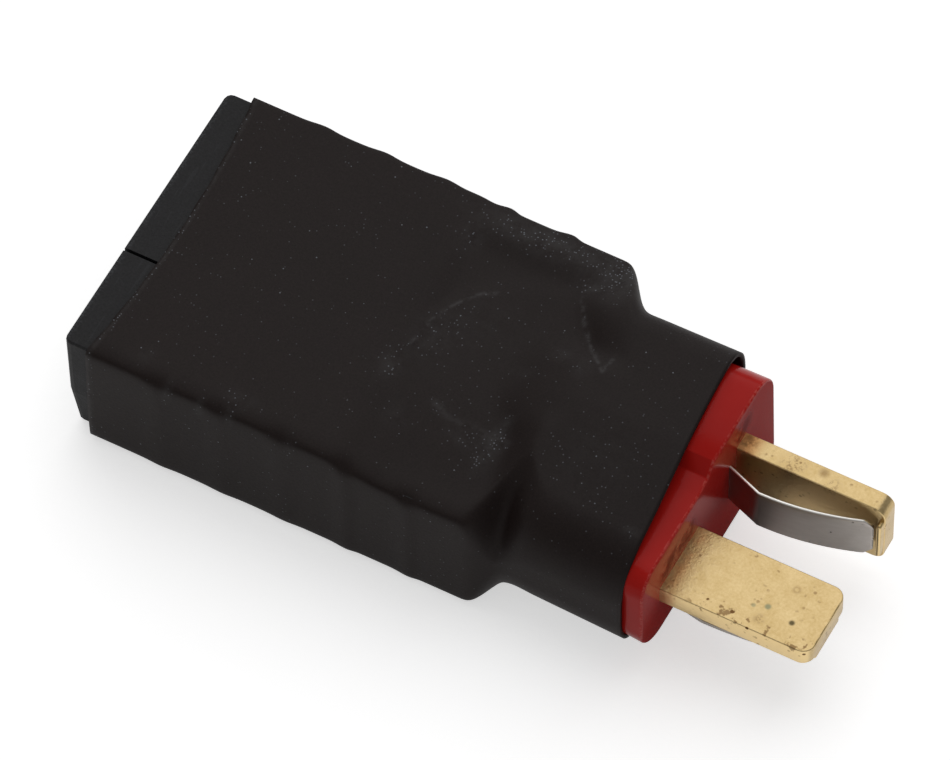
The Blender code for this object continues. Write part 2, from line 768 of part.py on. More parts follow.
def sleeve_ring(x, corner_steps, side_steps, top_steps, bottom_steps):
    # One closed ring of points: up the near side, over the top, down the far side, back
    near, far, low_near, radii = sleeve_box(x)
    r_nb, r_nt = radii["near_bottom"], radii["near_top"]
    r_ft, r_fb = radii["far_top"], radii["far_bottom"]
    points = []

    def straight(start, end, steps):
        for share in np.linspace(0, 1, steps + 1)[1:-1]:
            points.append((mix(start[0], end[0], share), mix(start[1], end[1], share)))

    points += arc((near + r_nb, low_near + r_nb), r_nb, 270, 180, corner_steps)
    straight((near, low_near + r_nb), (near, sleeve_top - r_nt), side_steps)
    points += arc((near + r_nt, sleeve_top - r_nt), r_nt, 180, 90, corner_steps)
    straight((near + r_nt, sleeve_top), (far - r_ft, sleeve_top), top_steps)
    points += arc((far - r_ft, sleeve_top - r_ft), r_ft, 90, 0, corner_steps)
    straight((far, sleeve_top - r_ft), (far, r_fb), side_steps)
    points += arc((far - r_fb, r_fb), r_fb, 0, -90, corner_steps)
    for y in np.linspace(far - r_fb, near + r_nb, bottom_steps + 1)[1:-1]:
        share = np.clip((plug_shift + plug_step - y) / (plug_shift + plug_step - near - r_nb),
                        0, 1)
        points.append((y, low_near * share ** drape))
    ring = []
    for y, z in points:
        upper = smooth_step((z - sleeve_top / 2) / (sleeve_top / 2 - sleeve_skin))
        ring.append((cut_slant(x, y), y, z + float(top_lift(x, y, near) * upper)))
    return ring


def cut_slant(x, y):
    # The cut ends aren't square: bowed at the socket, slanted at the plug
    half = housing_width / 2 + sleeve_skin
    bow = sleeve_bow * (1 - (y / half) ** 2)
    bow = bow * np.clip(1 - (x - sleeve_start) / (rib_first / 2), 0, 1)
    last = plug_front - bare_plug_near
    slant = (bare_plug_far - bare_plug_near) * smooth_step((y - plug_shift) / plug_width + 0.5)
    slant = slant * np.clip(1 - (last - x) / (plug_length / 2), 0, 1)
    return mouth_x + x + float(bow - slant)


def sleeve_stations():
    # Along the sleeve: its end, the ribs, the sag over the wells, the shoulder, the neck
    places = [sleeve_start, sleeve_start + rib_first / 3]
    for index in range(rib_count):
        center = rib_first + index * rib_pitch
        places += [center - rib_drape_rise, center - rib_drape_rise / 2, center + fit_gap,
                   center + fit_gap + rib_drape_fall]
    places += list(well_start + 2 * sag_run * np.linspace(0, 1, 5))
    places += list(np.linspace(well_start + 3 * sag_run, sag_back - sag_run, 5))
    places += list(sag_back - sag_run * np.linspace(0.5, 0, 2))
    shoulder = housing_length + shoulder_lead
    places += list(shoulder + shoulder_rise * np.linspace(0, 1, 10))
    last = plug_front - bare_plug_near
    places += list(np.linspace(shoulder + shoulder_rise, last, 4)[1:])
    kept = []
    for place in sorted(places):
        if not kept or place - kept[-1] > 0.15 * mm:
            kept.append(place)
    return kept


def make_sleeve():
    rings = [sleeve_ring(x, 3, 3, 22, 6) for x in sleeve_stations()]
    mesh = loft_mesh("shrink_sleeve", rings, False)
    sleeve = add_part("shrink_sleeve", mesh, black_shrink, None, 35)
    thicken(sleeve, sleeve_wall, -1)


make_housing()
make_contact("near", -1)
make_contact("far", 1)
make_plug_body()
for blade_name, blade_place in blade_placements():
    make_blade(blade_name, blade_place)
make_links()
make_sleeve()
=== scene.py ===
import math

import bmesh
import bpy
import numpy as np
from mathutils import Matrix, Vector


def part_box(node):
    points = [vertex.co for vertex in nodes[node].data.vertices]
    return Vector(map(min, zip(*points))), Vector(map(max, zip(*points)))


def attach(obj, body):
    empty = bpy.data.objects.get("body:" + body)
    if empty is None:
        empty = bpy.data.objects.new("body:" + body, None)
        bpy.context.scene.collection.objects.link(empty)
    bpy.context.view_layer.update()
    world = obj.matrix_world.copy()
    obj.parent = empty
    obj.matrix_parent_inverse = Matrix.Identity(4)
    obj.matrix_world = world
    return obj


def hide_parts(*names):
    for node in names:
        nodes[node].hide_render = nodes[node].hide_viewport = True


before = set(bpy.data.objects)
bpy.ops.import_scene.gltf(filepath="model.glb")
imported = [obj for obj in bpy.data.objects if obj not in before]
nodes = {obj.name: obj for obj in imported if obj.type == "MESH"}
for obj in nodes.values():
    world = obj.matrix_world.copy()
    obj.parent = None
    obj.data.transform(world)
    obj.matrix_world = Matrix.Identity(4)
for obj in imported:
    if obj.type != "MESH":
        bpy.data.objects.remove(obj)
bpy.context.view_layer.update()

scene = bpy.context.scene
mm = 0.001


# Camera, at the photo's own viewing angle

cameraLook = {
    "place": (157.545, -295.43, 508.27),  # mm
    "right": (0.88303, 0.46929, -0.00413),
    "up": (-0.38808, 0.73511, 0.55588),
    "focal": 417.28,
    "sensor": 36.0,
}


def makeCamera(look):
    data = bpy.data.cameras.new("photoCamera")
    data.lens = look["focal"]
    data.sensor_width = look["sensor"]
    data.clip_start = 0.05
    data.clip_end = 20.0
    data.dof.use_dof = False
    camera = bpy.data.objects.new("photoCamera", data)
    scene.collection.objects.link(camera)
    right = Vector(look["right"]).normalized()
    up = Vector(look["up"])
    back = right.cross(up).normalized()
    up = back.cross(right)
    turn = Matrix((right, up, back)).transposed().to_4x4()
    camera.matrix_world = Matrix.Translation(Vector(look["place"]) * mm) @ turn
    scene.camera = camera


makeCamera(cameraLook)
print("camera ready")


# Shader maths: a wrapped socket on which Python's operators add Math nodes

class Value:
    def __init__(self, finish, socket):
        self.finish = finish
        self.socket = socket

    def math(self, operation, *others, clamp=False):
        return self.finish.node("ShaderNodeMath",
                                {"operation": operation, "use_clamp": clamp},
                                dict(enumerate((self, *others))))

    def __add__(self, other):
        return self.math("ADD", other)

    def __sub__(self, other):
        return self.math("SUBTRACT", other)

    def __mul__(self, other):
        return self.math("MULTIPLY", other)

    def __rsub__(self, other):
        return self.finish.node("ShaderNodeMath", {"operation": "SUBTRACT"},
                                {0: other, 1: self})

    def __neg__(self):
        return self.math("MULTIPLY", -1.0)

    __radd__ = __add__
    __rmul__ = __mul__

    def clip(self):
        return self.math("ADD", 0.0, clamp=True)

    def above(self, level, width):
        # 0 below level, 1 above level + width, smooth between
        return self.finish.node("ShaderNodeMapRange", {"interpolation_type": "SMOOTHSTEP"},
                                {"Value": self, "From Min": level, "From Max": level + width})

    def below(self, level, width):
        return 1.0 - self.above(level, width)


class Finish:
    # One material and the nodes that make it
    def __init__(self, name):
        self.material = bpy.data.materials.new(name)
        self.material.use_nodes = True
        self.tree = self.material.node_tree
        self.shader = self.tree.nodes["Principled BSDF"]
        self.place = self.node("ShaderNodeTexCoord", out="Object")

    def feed(self, socket, value):
        if isinstance(value, Value):
            self.tree.links.new(value.socket, socket)
        elif isinstance(value, tuple) and len(value) == 3 and socket.type == "RGBA":
            socket.default_value = (*value, 1.0)
        else:
            socket.default_value = value

    def node(self, kind, settings=None, sockets=None, out=0):
        made = self.tree.nodes.new(kind)
        for key, value in (settings or {}).items():
            setattr(made, key, value)
        for key, value in (sockets or {}).items():
            self.feed(made.inputs[key], value)
        return Value(self, made.outputs[out])

    def noise(self, scale, detail, roughness, stretch=None):
        # scale is in features per mm
        place = self.place
        if stretch:
            place = self.node("ShaderNodeMapping", None,
                              {"Vector": place, "Scale": stretch})
        return self.node("ShaderNodeTexNoise", None,
                         {"Vector": place, "Scale": scale / mm, "Detail": detail,
                          "Roughness": roughness})

    def cells(self, scale, out="Distance"):
        # The distance from the middle of the nearest cell; scale is in cells per mm
        return self.node("ShaderNodeTexVoronoi", None,
                         {"Vector": self.place, "Scale": scale / mm}, out)

    def grains(self, scale, size, soft, level, width):
        # One grain in each cell whose own random number is above level
        color = self.cells(scale, "Color")
        chance = self.node("ShaderNodeSeparateColor", None, {0: color})
        return self.cells(scale).below(size, soft) * chance.above(level, width)

    def drawn(self, name):
        # A number that a new piece carries at its points
        return self.node("ShaderNodeAttribute", {"attribute_name": name}, out="Fac")

    def split(self, vector):
        parts = self.tree.nodes.new("ShaderNodeSeparateXYZ")
        self.tree.links.new(vector.socket, parts.inputs[0])
        return [Value(self, socket) for socket in parts.outputs]

    def axes(self):
        # x, y and z in mm
        return [part * (1 / mm) for part in self.split(self.place)]

    def facing(self):
        # The surface's own normal, as three numbers
        return self.split(self.node("ShaderNodeNewGeometry", out="Normal"))

    def spot(self, center, radius, soft):
        # 1 inside a ball of that radius in mm, fading outwards
        away = self.node("ShaderNodeVectorMath", {"operation": "DISTANCE"},
                         {0: self.place, 1: tuple(c * mm for c in center)}, "Value")
        return (away * (1 / mm)).below(radius * (1 - soft), 2 * radius * soft)

    def spots(self, places):
        return sum(self.spot(center, radius, soft) * amount
                   for center, radius, soft, amount in places)

    def blend(self, share, low, high):
        return self.node("ShaderNodeMix", {"data_type": "RGBA"},
                         {0: share, 6: low, 7: high}, 2)

    def bump(self, height, depth):
        # depth is the height in mm of a full step
        return self.node("ShaderNodeBump", None,
                         {"Height": height, "Distance": depth * mm, "Strength": 1.0})

    def set(self, **sockets):
        names = {"color": "Base Color", "roughness": "Roughness", "metallic": "Metallic",
                 "normal": "Normal", "specular": "Specular IOR Level"}
        for key, value in sockets.items():
            self.feed(self.shader.inputs[names[key]], value)
        return self.material


# Finishes: noises are scale, detail and roughness; edges are a place or level and a fade

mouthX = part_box("socket_housing")[0][0] / mm
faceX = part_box("plug_body")[1][0] / mm

shrinkLook = {
    "dark": (0.0080, 0.0045, 0.0038),
    "light": (0.0178, 0.0112, 0.0102),
    "haze": (0.032, 0.028, 0.0275),
    "line": (0.044, 0.040, 0.040),
    "grain": (0.17, 0.18, 0.20),
    "fine": (6.0, 4.0, 0.6),
    "grit": (9.0, 2.0, 0.7),
    "broad": (0.25, 3.0, 0.5),
    "patchy": (1.3, 4.0, 0.65),
    "hazeLevel": (0.30, 0.35),
    "hazeShare": 0.8,
    "lineLevel": (0.38, 0.22),
    # grains: cells per mm, size, softness, level of chance, what dust takes off it, and fade
    "smallGrains": (5.0, 0.12, 0.16, 0.90, 0.75, 0.06),
    "largeGrains": (1.6, 0.05, 0.04, 0.80, 0.5, 0.03),
    "smallShare": 0.35,
    "largeShare": 0.8,
    "dustShare": 0.5,
    "roughness": 0.50,
    "roughSpread": 0.12,
    "specular": 0.17,
    "bump": 0.008,
}


def makeShrink(look):
    finish = Finish("blackShrink")
    fine, grit, broad, patchy = [finish.noise(*look[key])
                                 for key in ("fine", "grit", "broad", "patchy")]
    ridge = finish.drawn("ridge")
    dust = finish.drawn("dust")
    # Fine grit over broad clouds
    color = finish.blend((grit * 1.6 + broad * 0.4 - 0.5).clip(), look["dark"], look["light"])
    haze = (dust * patchy.above(*look["hazeLevel"])).clip()
    color = finish.blend(haze * look["hazeShare"], color, look["haze"])
    line = (ridge * patchy.above(*look["lineLevel"])).clip()
    color = finish.blend(line, color, look["line"])
    # Dust grains: small ones thick in the dusty places, large ones rare everywhere
    small, large = [finish.grains(cells, size, soft, level - dust * dusty, width)
                    for cells, size, soft, level, dusty, width
                    in (look["smallGrains"], look["largeGrains"])]
    share = small * (look["smallShare"] + dust * look["dustShare"]) + large * look["largeShare"]
    color = finish.blend(share.clip(), color, look["grain"])
    return finish.set(color=color, roughness=look["roughness"] + fine * look["roughSpread"],
                      specular=look["specular"], normal=finish.bump(fine, look["bump"]))


nylonLook = {
    "dark": (0.0050, 0.0048, 0.0052),
    "light": (0.0250, 0.0240, 0.0255),
    "rubbed": (0.060, 0.062, 0.068),
    "scratch": (0.050, 0.052, 0.058),
    "fine": (7.0, 4.0, 0.7),
    "worn": (1.1, 5.0, 0.65),
    "scratchNoise": (0.8, 2.0, 0.5),
    "scratchStretch": (6.0, 0.5, 0.5),
    "rubbedEdge": (0.10, 0.35),  # x in mm from the mouth
    "rubbedLevel": (0.42, 0.25),
    "rubbedShare": 0.8,
    "scratchLevel": (0.62, 0.06),
    "scratchShare": 0.15,
    "roughness": 0.46,
    "roughSpread": 0.25,
    "specular": 0.2,
    "bump": 0.03,
}


def makeNylon(look):
    finish = Finish("blackNylon")
    fine = finish.noise(*look["fine"])
    worn = finish.noise(*look["worn"])
    color = finish.blend((fine * 1.3 + worn - 0.65).clip(), look["dark"], look["light"])
    # Rubbed pale along the mouth's edges
    edge, fade = look["rubbedEdge"]
    rubbed = finish.axes()[0].below(mouthX + edge, fade) * fine.above(*look["rubbedLevel"])
    color = finish.blend(rubbed * look["rubbedShare"], color, look["rubbed"])
    scratch = finish.noise(*look["scratchNoise"], stretch=look["scratchStretch"])
    scratch = scratch.above(*look["scratchLevel"]) * look["scratchShare"]
    color = finish.blend(scratch, color, look["scratch"])
    return finish.set(color=color, roughness=look["roughness"] + worn * look["roughSpread"],
                      specular=look["specular"],
                      normal=finish.bump(fine * 0.5 + worn, look["bump"]))


redLook = {
    "dark": (0.37, 0.0085, 0.0065),
    "light": (0.46, 0.014, 0.010),
    "edge": (0.62, 0.16, 0.13),
    "smear": (0.15, 0.002, 0.002),
    "broad": (0.4, 2.0, 0.5),
    "fine": (5.0, 3.0, 0.6),
    "smearNoise": (0.9, 3.0, 0.6),
    # x in mm from the plug's face
    "edgeStart": (-0.17, 0.06),
    "edgeEnd": (-0.04, 0.05),
    "front": (-0.05, 0.03),
    "edgeLevel": (0.38, 0.3),
    "edgeShare": 0.45,
    "smearLevel": (0.34, 0.24),
    "smearShare": 0.8,
    # Smears above the flat and the upright blade's roots: least y, most y, least z, most z
    "smears": (((-7.3, 1.0), (-3.4, 1.0), (5.6, 0.9), (6.9, 1.0)),
               ((1.7, 0.8), (3.3, 0.9), (7.2, 0.9), (8.6, 1.0))),
    "roughness": 0.17,
    "roughSpread": 0.25,
    "specular": 0.085,
    "bump": 0.015,
}


def makeRed(look):
    finish = Finish("redNylon")
    broad = finish.noise(*look["broad"])
    fine = finish.noise(*look["fine"])
    x, y, z = finish.axes()
    x = x - faceX
    color = finish.blend(broad, look["dark"], look["light"])
    # A thin pale line along the rounded front edge
    edge = x.above(*look["edgeStart"]) * x.below(*look["edgeEnd"])
    edge = edge * fine.above(*look["edgeLevel"])
    color = finish.blend(edge * look["edgeShare"], color, look["edge"])
    # Dark smears on the front face
    places = sum(y.above(*left) * y.below(*right) * z.above(*low) * z.below(*high)
                 for left, right, low, high in look["smears"])
    smears = finish.noise(*look["smearNoise"]).above(*look["smearLevel"])
    smears = x.above(*look["front"]) * smears * places.clip()
    color = finish.blend(smears * look["smearShare"], color, look["smear"])
    return finish.set(color=color, roughness=look["roughness"] + smears * look["roughSpread"],
                      specular=look["specular"],
                      normal=finish.bump(fine * 0.3 + smears, look["bump"]))


goldLook = {
    "dull": (0.43, 0.295, 0.115),
    "bright": (0.67, 0.515, 0.275),
    # the painted sheen's colour, for the sides that face the near side
    "nearSideSheen": (0.95, 0.72, 0.36),
    "copper": (0.50, 0.22, 0.07),
    "brown": (0.165, 0.085, 0.032),
    "green": (0.20, 0.21, 0.125),
    "black": (0.055, 0.045, 0.022),
    "fine": (6.0, 4.0, 0.65),
    "broad": (0.7, 3.0, 0.6),
    # how far a side must face the near side to take the painted sheen, and its share
    "nearSideSheenLevel": (0.45, 0.3),
    "nearSideSheenShare": 0.7,
    "copperShare": 0.7,
    "pitCells": (2.2, 0.16, 0.14),  # cells per mm, size and softness
    "pitNoise": (0.9, 3.0, 0.6),
    "pitLevel": (0.50, 0.12),
    "pitShare": 0.5,
    "roughness": 0.25,
    "roughSpread": 0.14,
    "stainRough": 0.15,
    "bump": 0.035,
    # Flat blade: most x in mm from the plug's face, then the near edge's most y, least z
    # and least x from that face
    "flatRoot": (0.05, 0.45),
    "flatRootLevel": (0.30, 0.4),
    "flatRootShare": 0.48,
    "flatCopper": (0.1, 1.1),
    "flatCopperLevel": (0.3, 0.3),
    "nearEdge": ((-6.45, 0.5), (5.3, 0.2), (1.2, 1.0)),
    "edgePitShare": 2.0,
    "edgeNoise": (2.0, 3.0, 0.6),
    "edgeLevel": (0.56, 0.08),
    "edgeShare": 0.7,
    # Spots: middle, radius, softness and amount
    "ring": ((19.85, -3.57, 5.7), 0.21, 0.6),
    "ringHole": ((19.85, -3.57, 5.7), 0.12, 0.5),
    "ringShare": 0.4,
    "flatPatches": (((18.88, -6.19, 5.7), 0.28, 0.8, 0.5),),
    "flatPatchLevel": (0.4, 0.2),
    "greenSpots": (((18.21, -5.53, 5.7), 0.12, 0.5, 0.7),
                   ((18.95, -5.26, 5.7), 0.17, 0.5, 1.0)),
    "greenShare": 0.85,
    "blackSpots": (((20.57, -5.59, 5.7), 0.16, 0.5, 0.9),),
    # Upright blade: most x in mm from the plug's face, and the height of its top edge
    "uprightRoot": (0.3, 1.0),
    "uprightCopper": (0.5, 1.0),
    "rippleNoise": (2.5, 3.0, 0.6),
    "rippleLevel": (0.42, 0.2),
    "rippleShare": 0.6,
    "onTop": (7.2, 0.15),
    "topPatchLevel": (0.44, 0.2),
    "topPatches": (((16.5, 2.55, 7.43), 0.65, 0.8, 0.6),
                   ((18.95, 2.3, 7.43), 0.42, 0.8, 0.6)),
    "topSpots": (((18.2, 2.85, 7.43), 0.26, 0.8, 0.5),),
}


def makeGold(look, name, flat=False, upright=False):
    finish = Finish(name)
    fine = finish.noise(*look["fine"])
    broad = finish.noise(*look["broad"])
    x, y, z = finish.axes()
    x = x - faceX
    color = finish.blend((fine * 1.1 + broad * 0.9 - 0.5).clip(), look["dull"], look["bright"])
    # Painted sheen: the sides that face the near side are painted brighter than the top, standing
    # in for their reflection of the bright floor
    nearSideSheen = (-finish.facing()[1]).above(*look["nearSideSheenLevel"])
    color = finish.blend(nearSideSheen * look["nearSideSheenShare"], color, look["nearSideSheen"])
    cells, size, soft = look["pitCells"]
    pits = finish.noise(*look["pitNoise"]).above(*look["pitLevel"])
    pits = pits * finish.cells(cells).below(size, soft)
    brown = pits * look["pitShare"]
    if flat:
        # Heat-browned root, pitted near edge, and a few spots on the top
        copper = x.below(*look["flatCopper"]) * broad.above(*look["flatCopperLevel"])
        color = finish.blend(copper * look["copperShare"], color, look["copper"])
        edgeY, edgeZ, edgeX = look["nearEdge"]
        nearEdge = y.below(*edgeY) * z.above(*edgeZ) * x.above(*edgeX)
        root = x.below(*look["flatRoot"]) * fine.above(*look["flatRootLevel"])
        stain = finish.noise(*look["edgeNoise"]).above(*look["edgeLevel"])
        brown = brown + root * look["flatRootShare"]
        brown = brown + nearEdge * (pits * look["edgePitShare"] + stain * look["edgeShare"])
        ring = finish.spot(*look["ring"]) * (1.0 - finish.spot(*look["ringHole"]))
        brown = brown + ring * look["ringShare"]
        patches = finish.spots(look["flatPatches"]) * fine.above(*look["flatPatchLevel"])
        brown = brown + patches
    if upright:
        # Rippled copper at the root and brown patches along the top edge
        onTop = z.above(*look["onTop"])
        copper = x.below(*look["uprightCopper"]) * onTop
        color = finish.blend(copper * look["copperShare"], color, look["copper"])
        ripple = finish.noise(*look["rippleNoise"]).above(*look["rippleLevel"])
        ripple = ripple * x.below(*look["uprightRoot"]) * onTop
        patches = finish.spots(look["topPatches"]) * fine.above(*look["topPatchLevel"])
        brown = brown + ripple * look["rippleShare"] + patches
        brown = brown + finish.spots(look["topSpots"])
    brown = brown.clip()
    color = finish.blend(brown, color, look["brown"])
    if flat:
        green = finish.spots(look["greenSpots"]).clip()
        color = finish.blend(green * look["greenShare"], color, look["green"])
        color = finish.blend(finish.spots(look["blackSpots"]), color, look["black"])
    roughness = look["roughness"] + fine * look["roughSpread"] + brown * look["stainRough"]
    return finish.set(color=color, roughness=roughness, metallic=1.0,
                      normal=finish.bump(fine * 0.4 + broad * 0.6, look["bump"]))


steelLook = {
    "dark": (0.34, 0.305, 0.28),
    "light": (0.50, 0.47, 0.44),
    # root: the colour of the painted shade towards the root
    "root": (0.22, 0.17, 0.15),
    # edge: the painted highlight's colour on surfaces turned upwards
    "edge": (0.86, 0.84, 0.80),
    "speck": (0.05, 0.045, 0.04),
    "fine": (4.0, 3.0, 0.5),
    "stretch": (0.2, 1, 1),
    "broad": (0.5, 2.0, 0.5),
    # where the painted shade towards the root ends, and its fade
    "rootEnd": (2.6, 2.2),  # mm from the plug's face
    "rootShadeShare": 0.45,
    # how far up a surface must turn to take the painted highlight
    "edgeLevel": (0.55, 0.2),
    "speckCells": (1.5, 0.10, 0.06),  # cells per mm, size and softness
    "speckNoise": (1.0, 2.0, 0.5),
    "speckLevel": (0.55, 0.06),
    "roughness": 0.30,
    "roughSpread": 0.14,
    "bump": 0.006,
}


def makeSteel(look):
    finish = Finish("springSteel")
    fine = finish.noise(*look["fine"], stretch=look["stretch"])
    broad = finish.noise(*look["broad"])
    color = finish.blend((fine * 0.6 + broad * 0.6 - 0.1).clip(), look["dark"], look["light"])
    # Painted shade: browner and darker towards the root, where the leaf lies under the blade beside
    # the plug's face
    rootEnd, fade = look["rootEnd"]
    root = finish.axes()[0].below(faceX + rootEnd, fade)
    color = finish.blend(root * look["rootShadeShare"], color, look["root"])
    # Painted highlight: surfaces turned upwards, the cut edges among them, are painted near white
    bright = finish.facing()[2].above(*look["edgeLevel"])
    color = finish.blend(bright, color, look["edge"])
    cells, size, soft = look["speckCells"]
    specks = finish.noise(*look["speckNoise"]).above(*look["speckLevel"])
    specks = specks * finish.cells(cells).below(size, soft)
    color = finish.blend(specks, color, look["speck"])
    return finish.set(color=color, roughness=look["roughness"] + fine * look["roughSpread"],
                      metallic=1.0, normal=finish.bump(fine, look["bump"]))


wireLook = {
    "dark": (0.55, 0.45, 0.38),
    "light": (0.70, 0.66, 0.62),
    "fine": (2.0, 3.0, 0.5),
    "roughness": 0.35,
    "roughSpread": 0.15,
    "bump": 0.02,
}

solderLook = {
    "dark": (0.50, 0.50, 0.51),
    "light": (0.66, 0.66, 0.66),
    "fine": (3.0, 4.0, 0.6),
    "roughness": 0.3,
    "roughSpread": 0.25,
    "bump": 0.03,
}


def makeDullMetal(look, name):
    finish = Finish(name)
    fine = finish.noise(*look["fine"])
    color = finish.blend(fine, look["dark"], look["light"])
    return finish.set(color=color, roughness=look["roughness"] + fine * look["roughSpread"],
                      metallic=1.0, normal=finish.bump(fine, look["bump"]))


def paint(material, *names):
    for name in names:
        mesh = nodes[name].data
        mesh.materials.clear()
        mesh.materials.append(material)


shrink = makeShrink(shrinkLook)
nylon = makeNylon(nylonLook)
red = makeRed(redLook)
gold = makeGold(goldLook, "goldPlate")
flatGold = makeGold(goldLook, "flatBladeGold", flat=True)
uprightGold = makeGold(goldLook, "uprightBladeGold", upright=True)
steel = makeSteel(steelLook)
wireFinish = makeDullMetal(wireLook, "tinnedCopper")
solderFinish = makeDullMetal(solderLook, "dullSolder")

paint(shrink, "shrink_sleeve")
paint(nylon, "socket_housing")
paint(red, "plug_body")
paint(gold, "flat_blade", "upright_blade", "socket_contact_near", "socket_contact_far")
paint(steel, "flat_blade_spring", "upright_blade_spring",
      "contact_spring_near", "contact_spring_far")
for side in ("near", "far"):
    paint(wireFinish, "link_wire_" + side)
    paint(solderFinish, "solder_contact_" + side, "solder_blade_" + side)
print("finishes ready")


# Grid surfaces: points as (rows, columns, 3) arrays in mm

def smooth(value):
    value = np.clip(value, 0.0, 1.0)
    return value * value * (3 - 2 * value)


def climbing(value, start, run):
    # 0 up to start, 1 from start + run, smooth between
    return smooth((value - start) / run)


def falling(value, end, run):
    # 1 up to end - run, 0 from end, smooth between
    return smooth((end - value) / run)


def mix(low, high, share):
    return low + (high - low) * share


def bell(value):
    return np.exp(-value ** 2)


def gridFaces(rows, columns):
    # Quads between neighbouring rows and columns, both closed on themselves
    here = np.arange(rows * columns).reshape(rows, columns)
    nextRow = np.roll(here, -1, 0)
    return np.stack((here, np.roll(here, -1, 1), np.roll(nextRow, -1, 1), nextRow),
                    -1).reshape(-1, 4)


def openFaces(rows, columns):
    # As gridFaces, but the last row doesn't join the first
    return gridFaces(rows, columns)[:(rows - 1) * columns]


def makePiece(name, points, faces, material, attributes=None):
    mesh = bpy.data.meshes.new(name)
    mesh.from_pydata((points.reshape(-1, 3) * mm).tolist(), [], faces.tolist())
    mesh.materials.append(material)
    mesh.shade_smooth()
    for key, values in (attributes or {}).items():
        layer = mesh.attributes.new(key, "FLOAT", "POINT")
        layer.data.foreach_set("value", np.ascontiguousarray(values, np.float32).ravel())
    piece = bpy.data.objects.new(name, mesh)
    scene.collection.objects.link(piece)
    return piece


def routeDistance(x, y, route):
    # Distance of each grid point from a line through a few points
    nearest = np.full(np.broadcast(x, y).shape, 1e9)
    for (ax, ay), (bx, by) in zip(route, route[1:]):
        along = ((x - ax) * (bx - ax) + (y - ay) * (by - ay)) / ((bx - ax) ** 2 + (by - ay) ** 2)
        along = np.clip(along, 0.0, 1.0)
        away = np.hypot(x - ax - along * (bx - ax), y - ay - along * (by - ay))
        nearest = np.minimum(nearest, away)
    return nearest


def boxOf(name):
    low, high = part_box(name)
    return np.array(low) / mm, np.array(high) / mm


housingLow, housingHigh = boxOf("socket_housing")
plugLow, plugHigh = boxOf("plug_body")
plugMiddle = (plugLow + plugHigh) / 2


# Heat-shrink sleeve

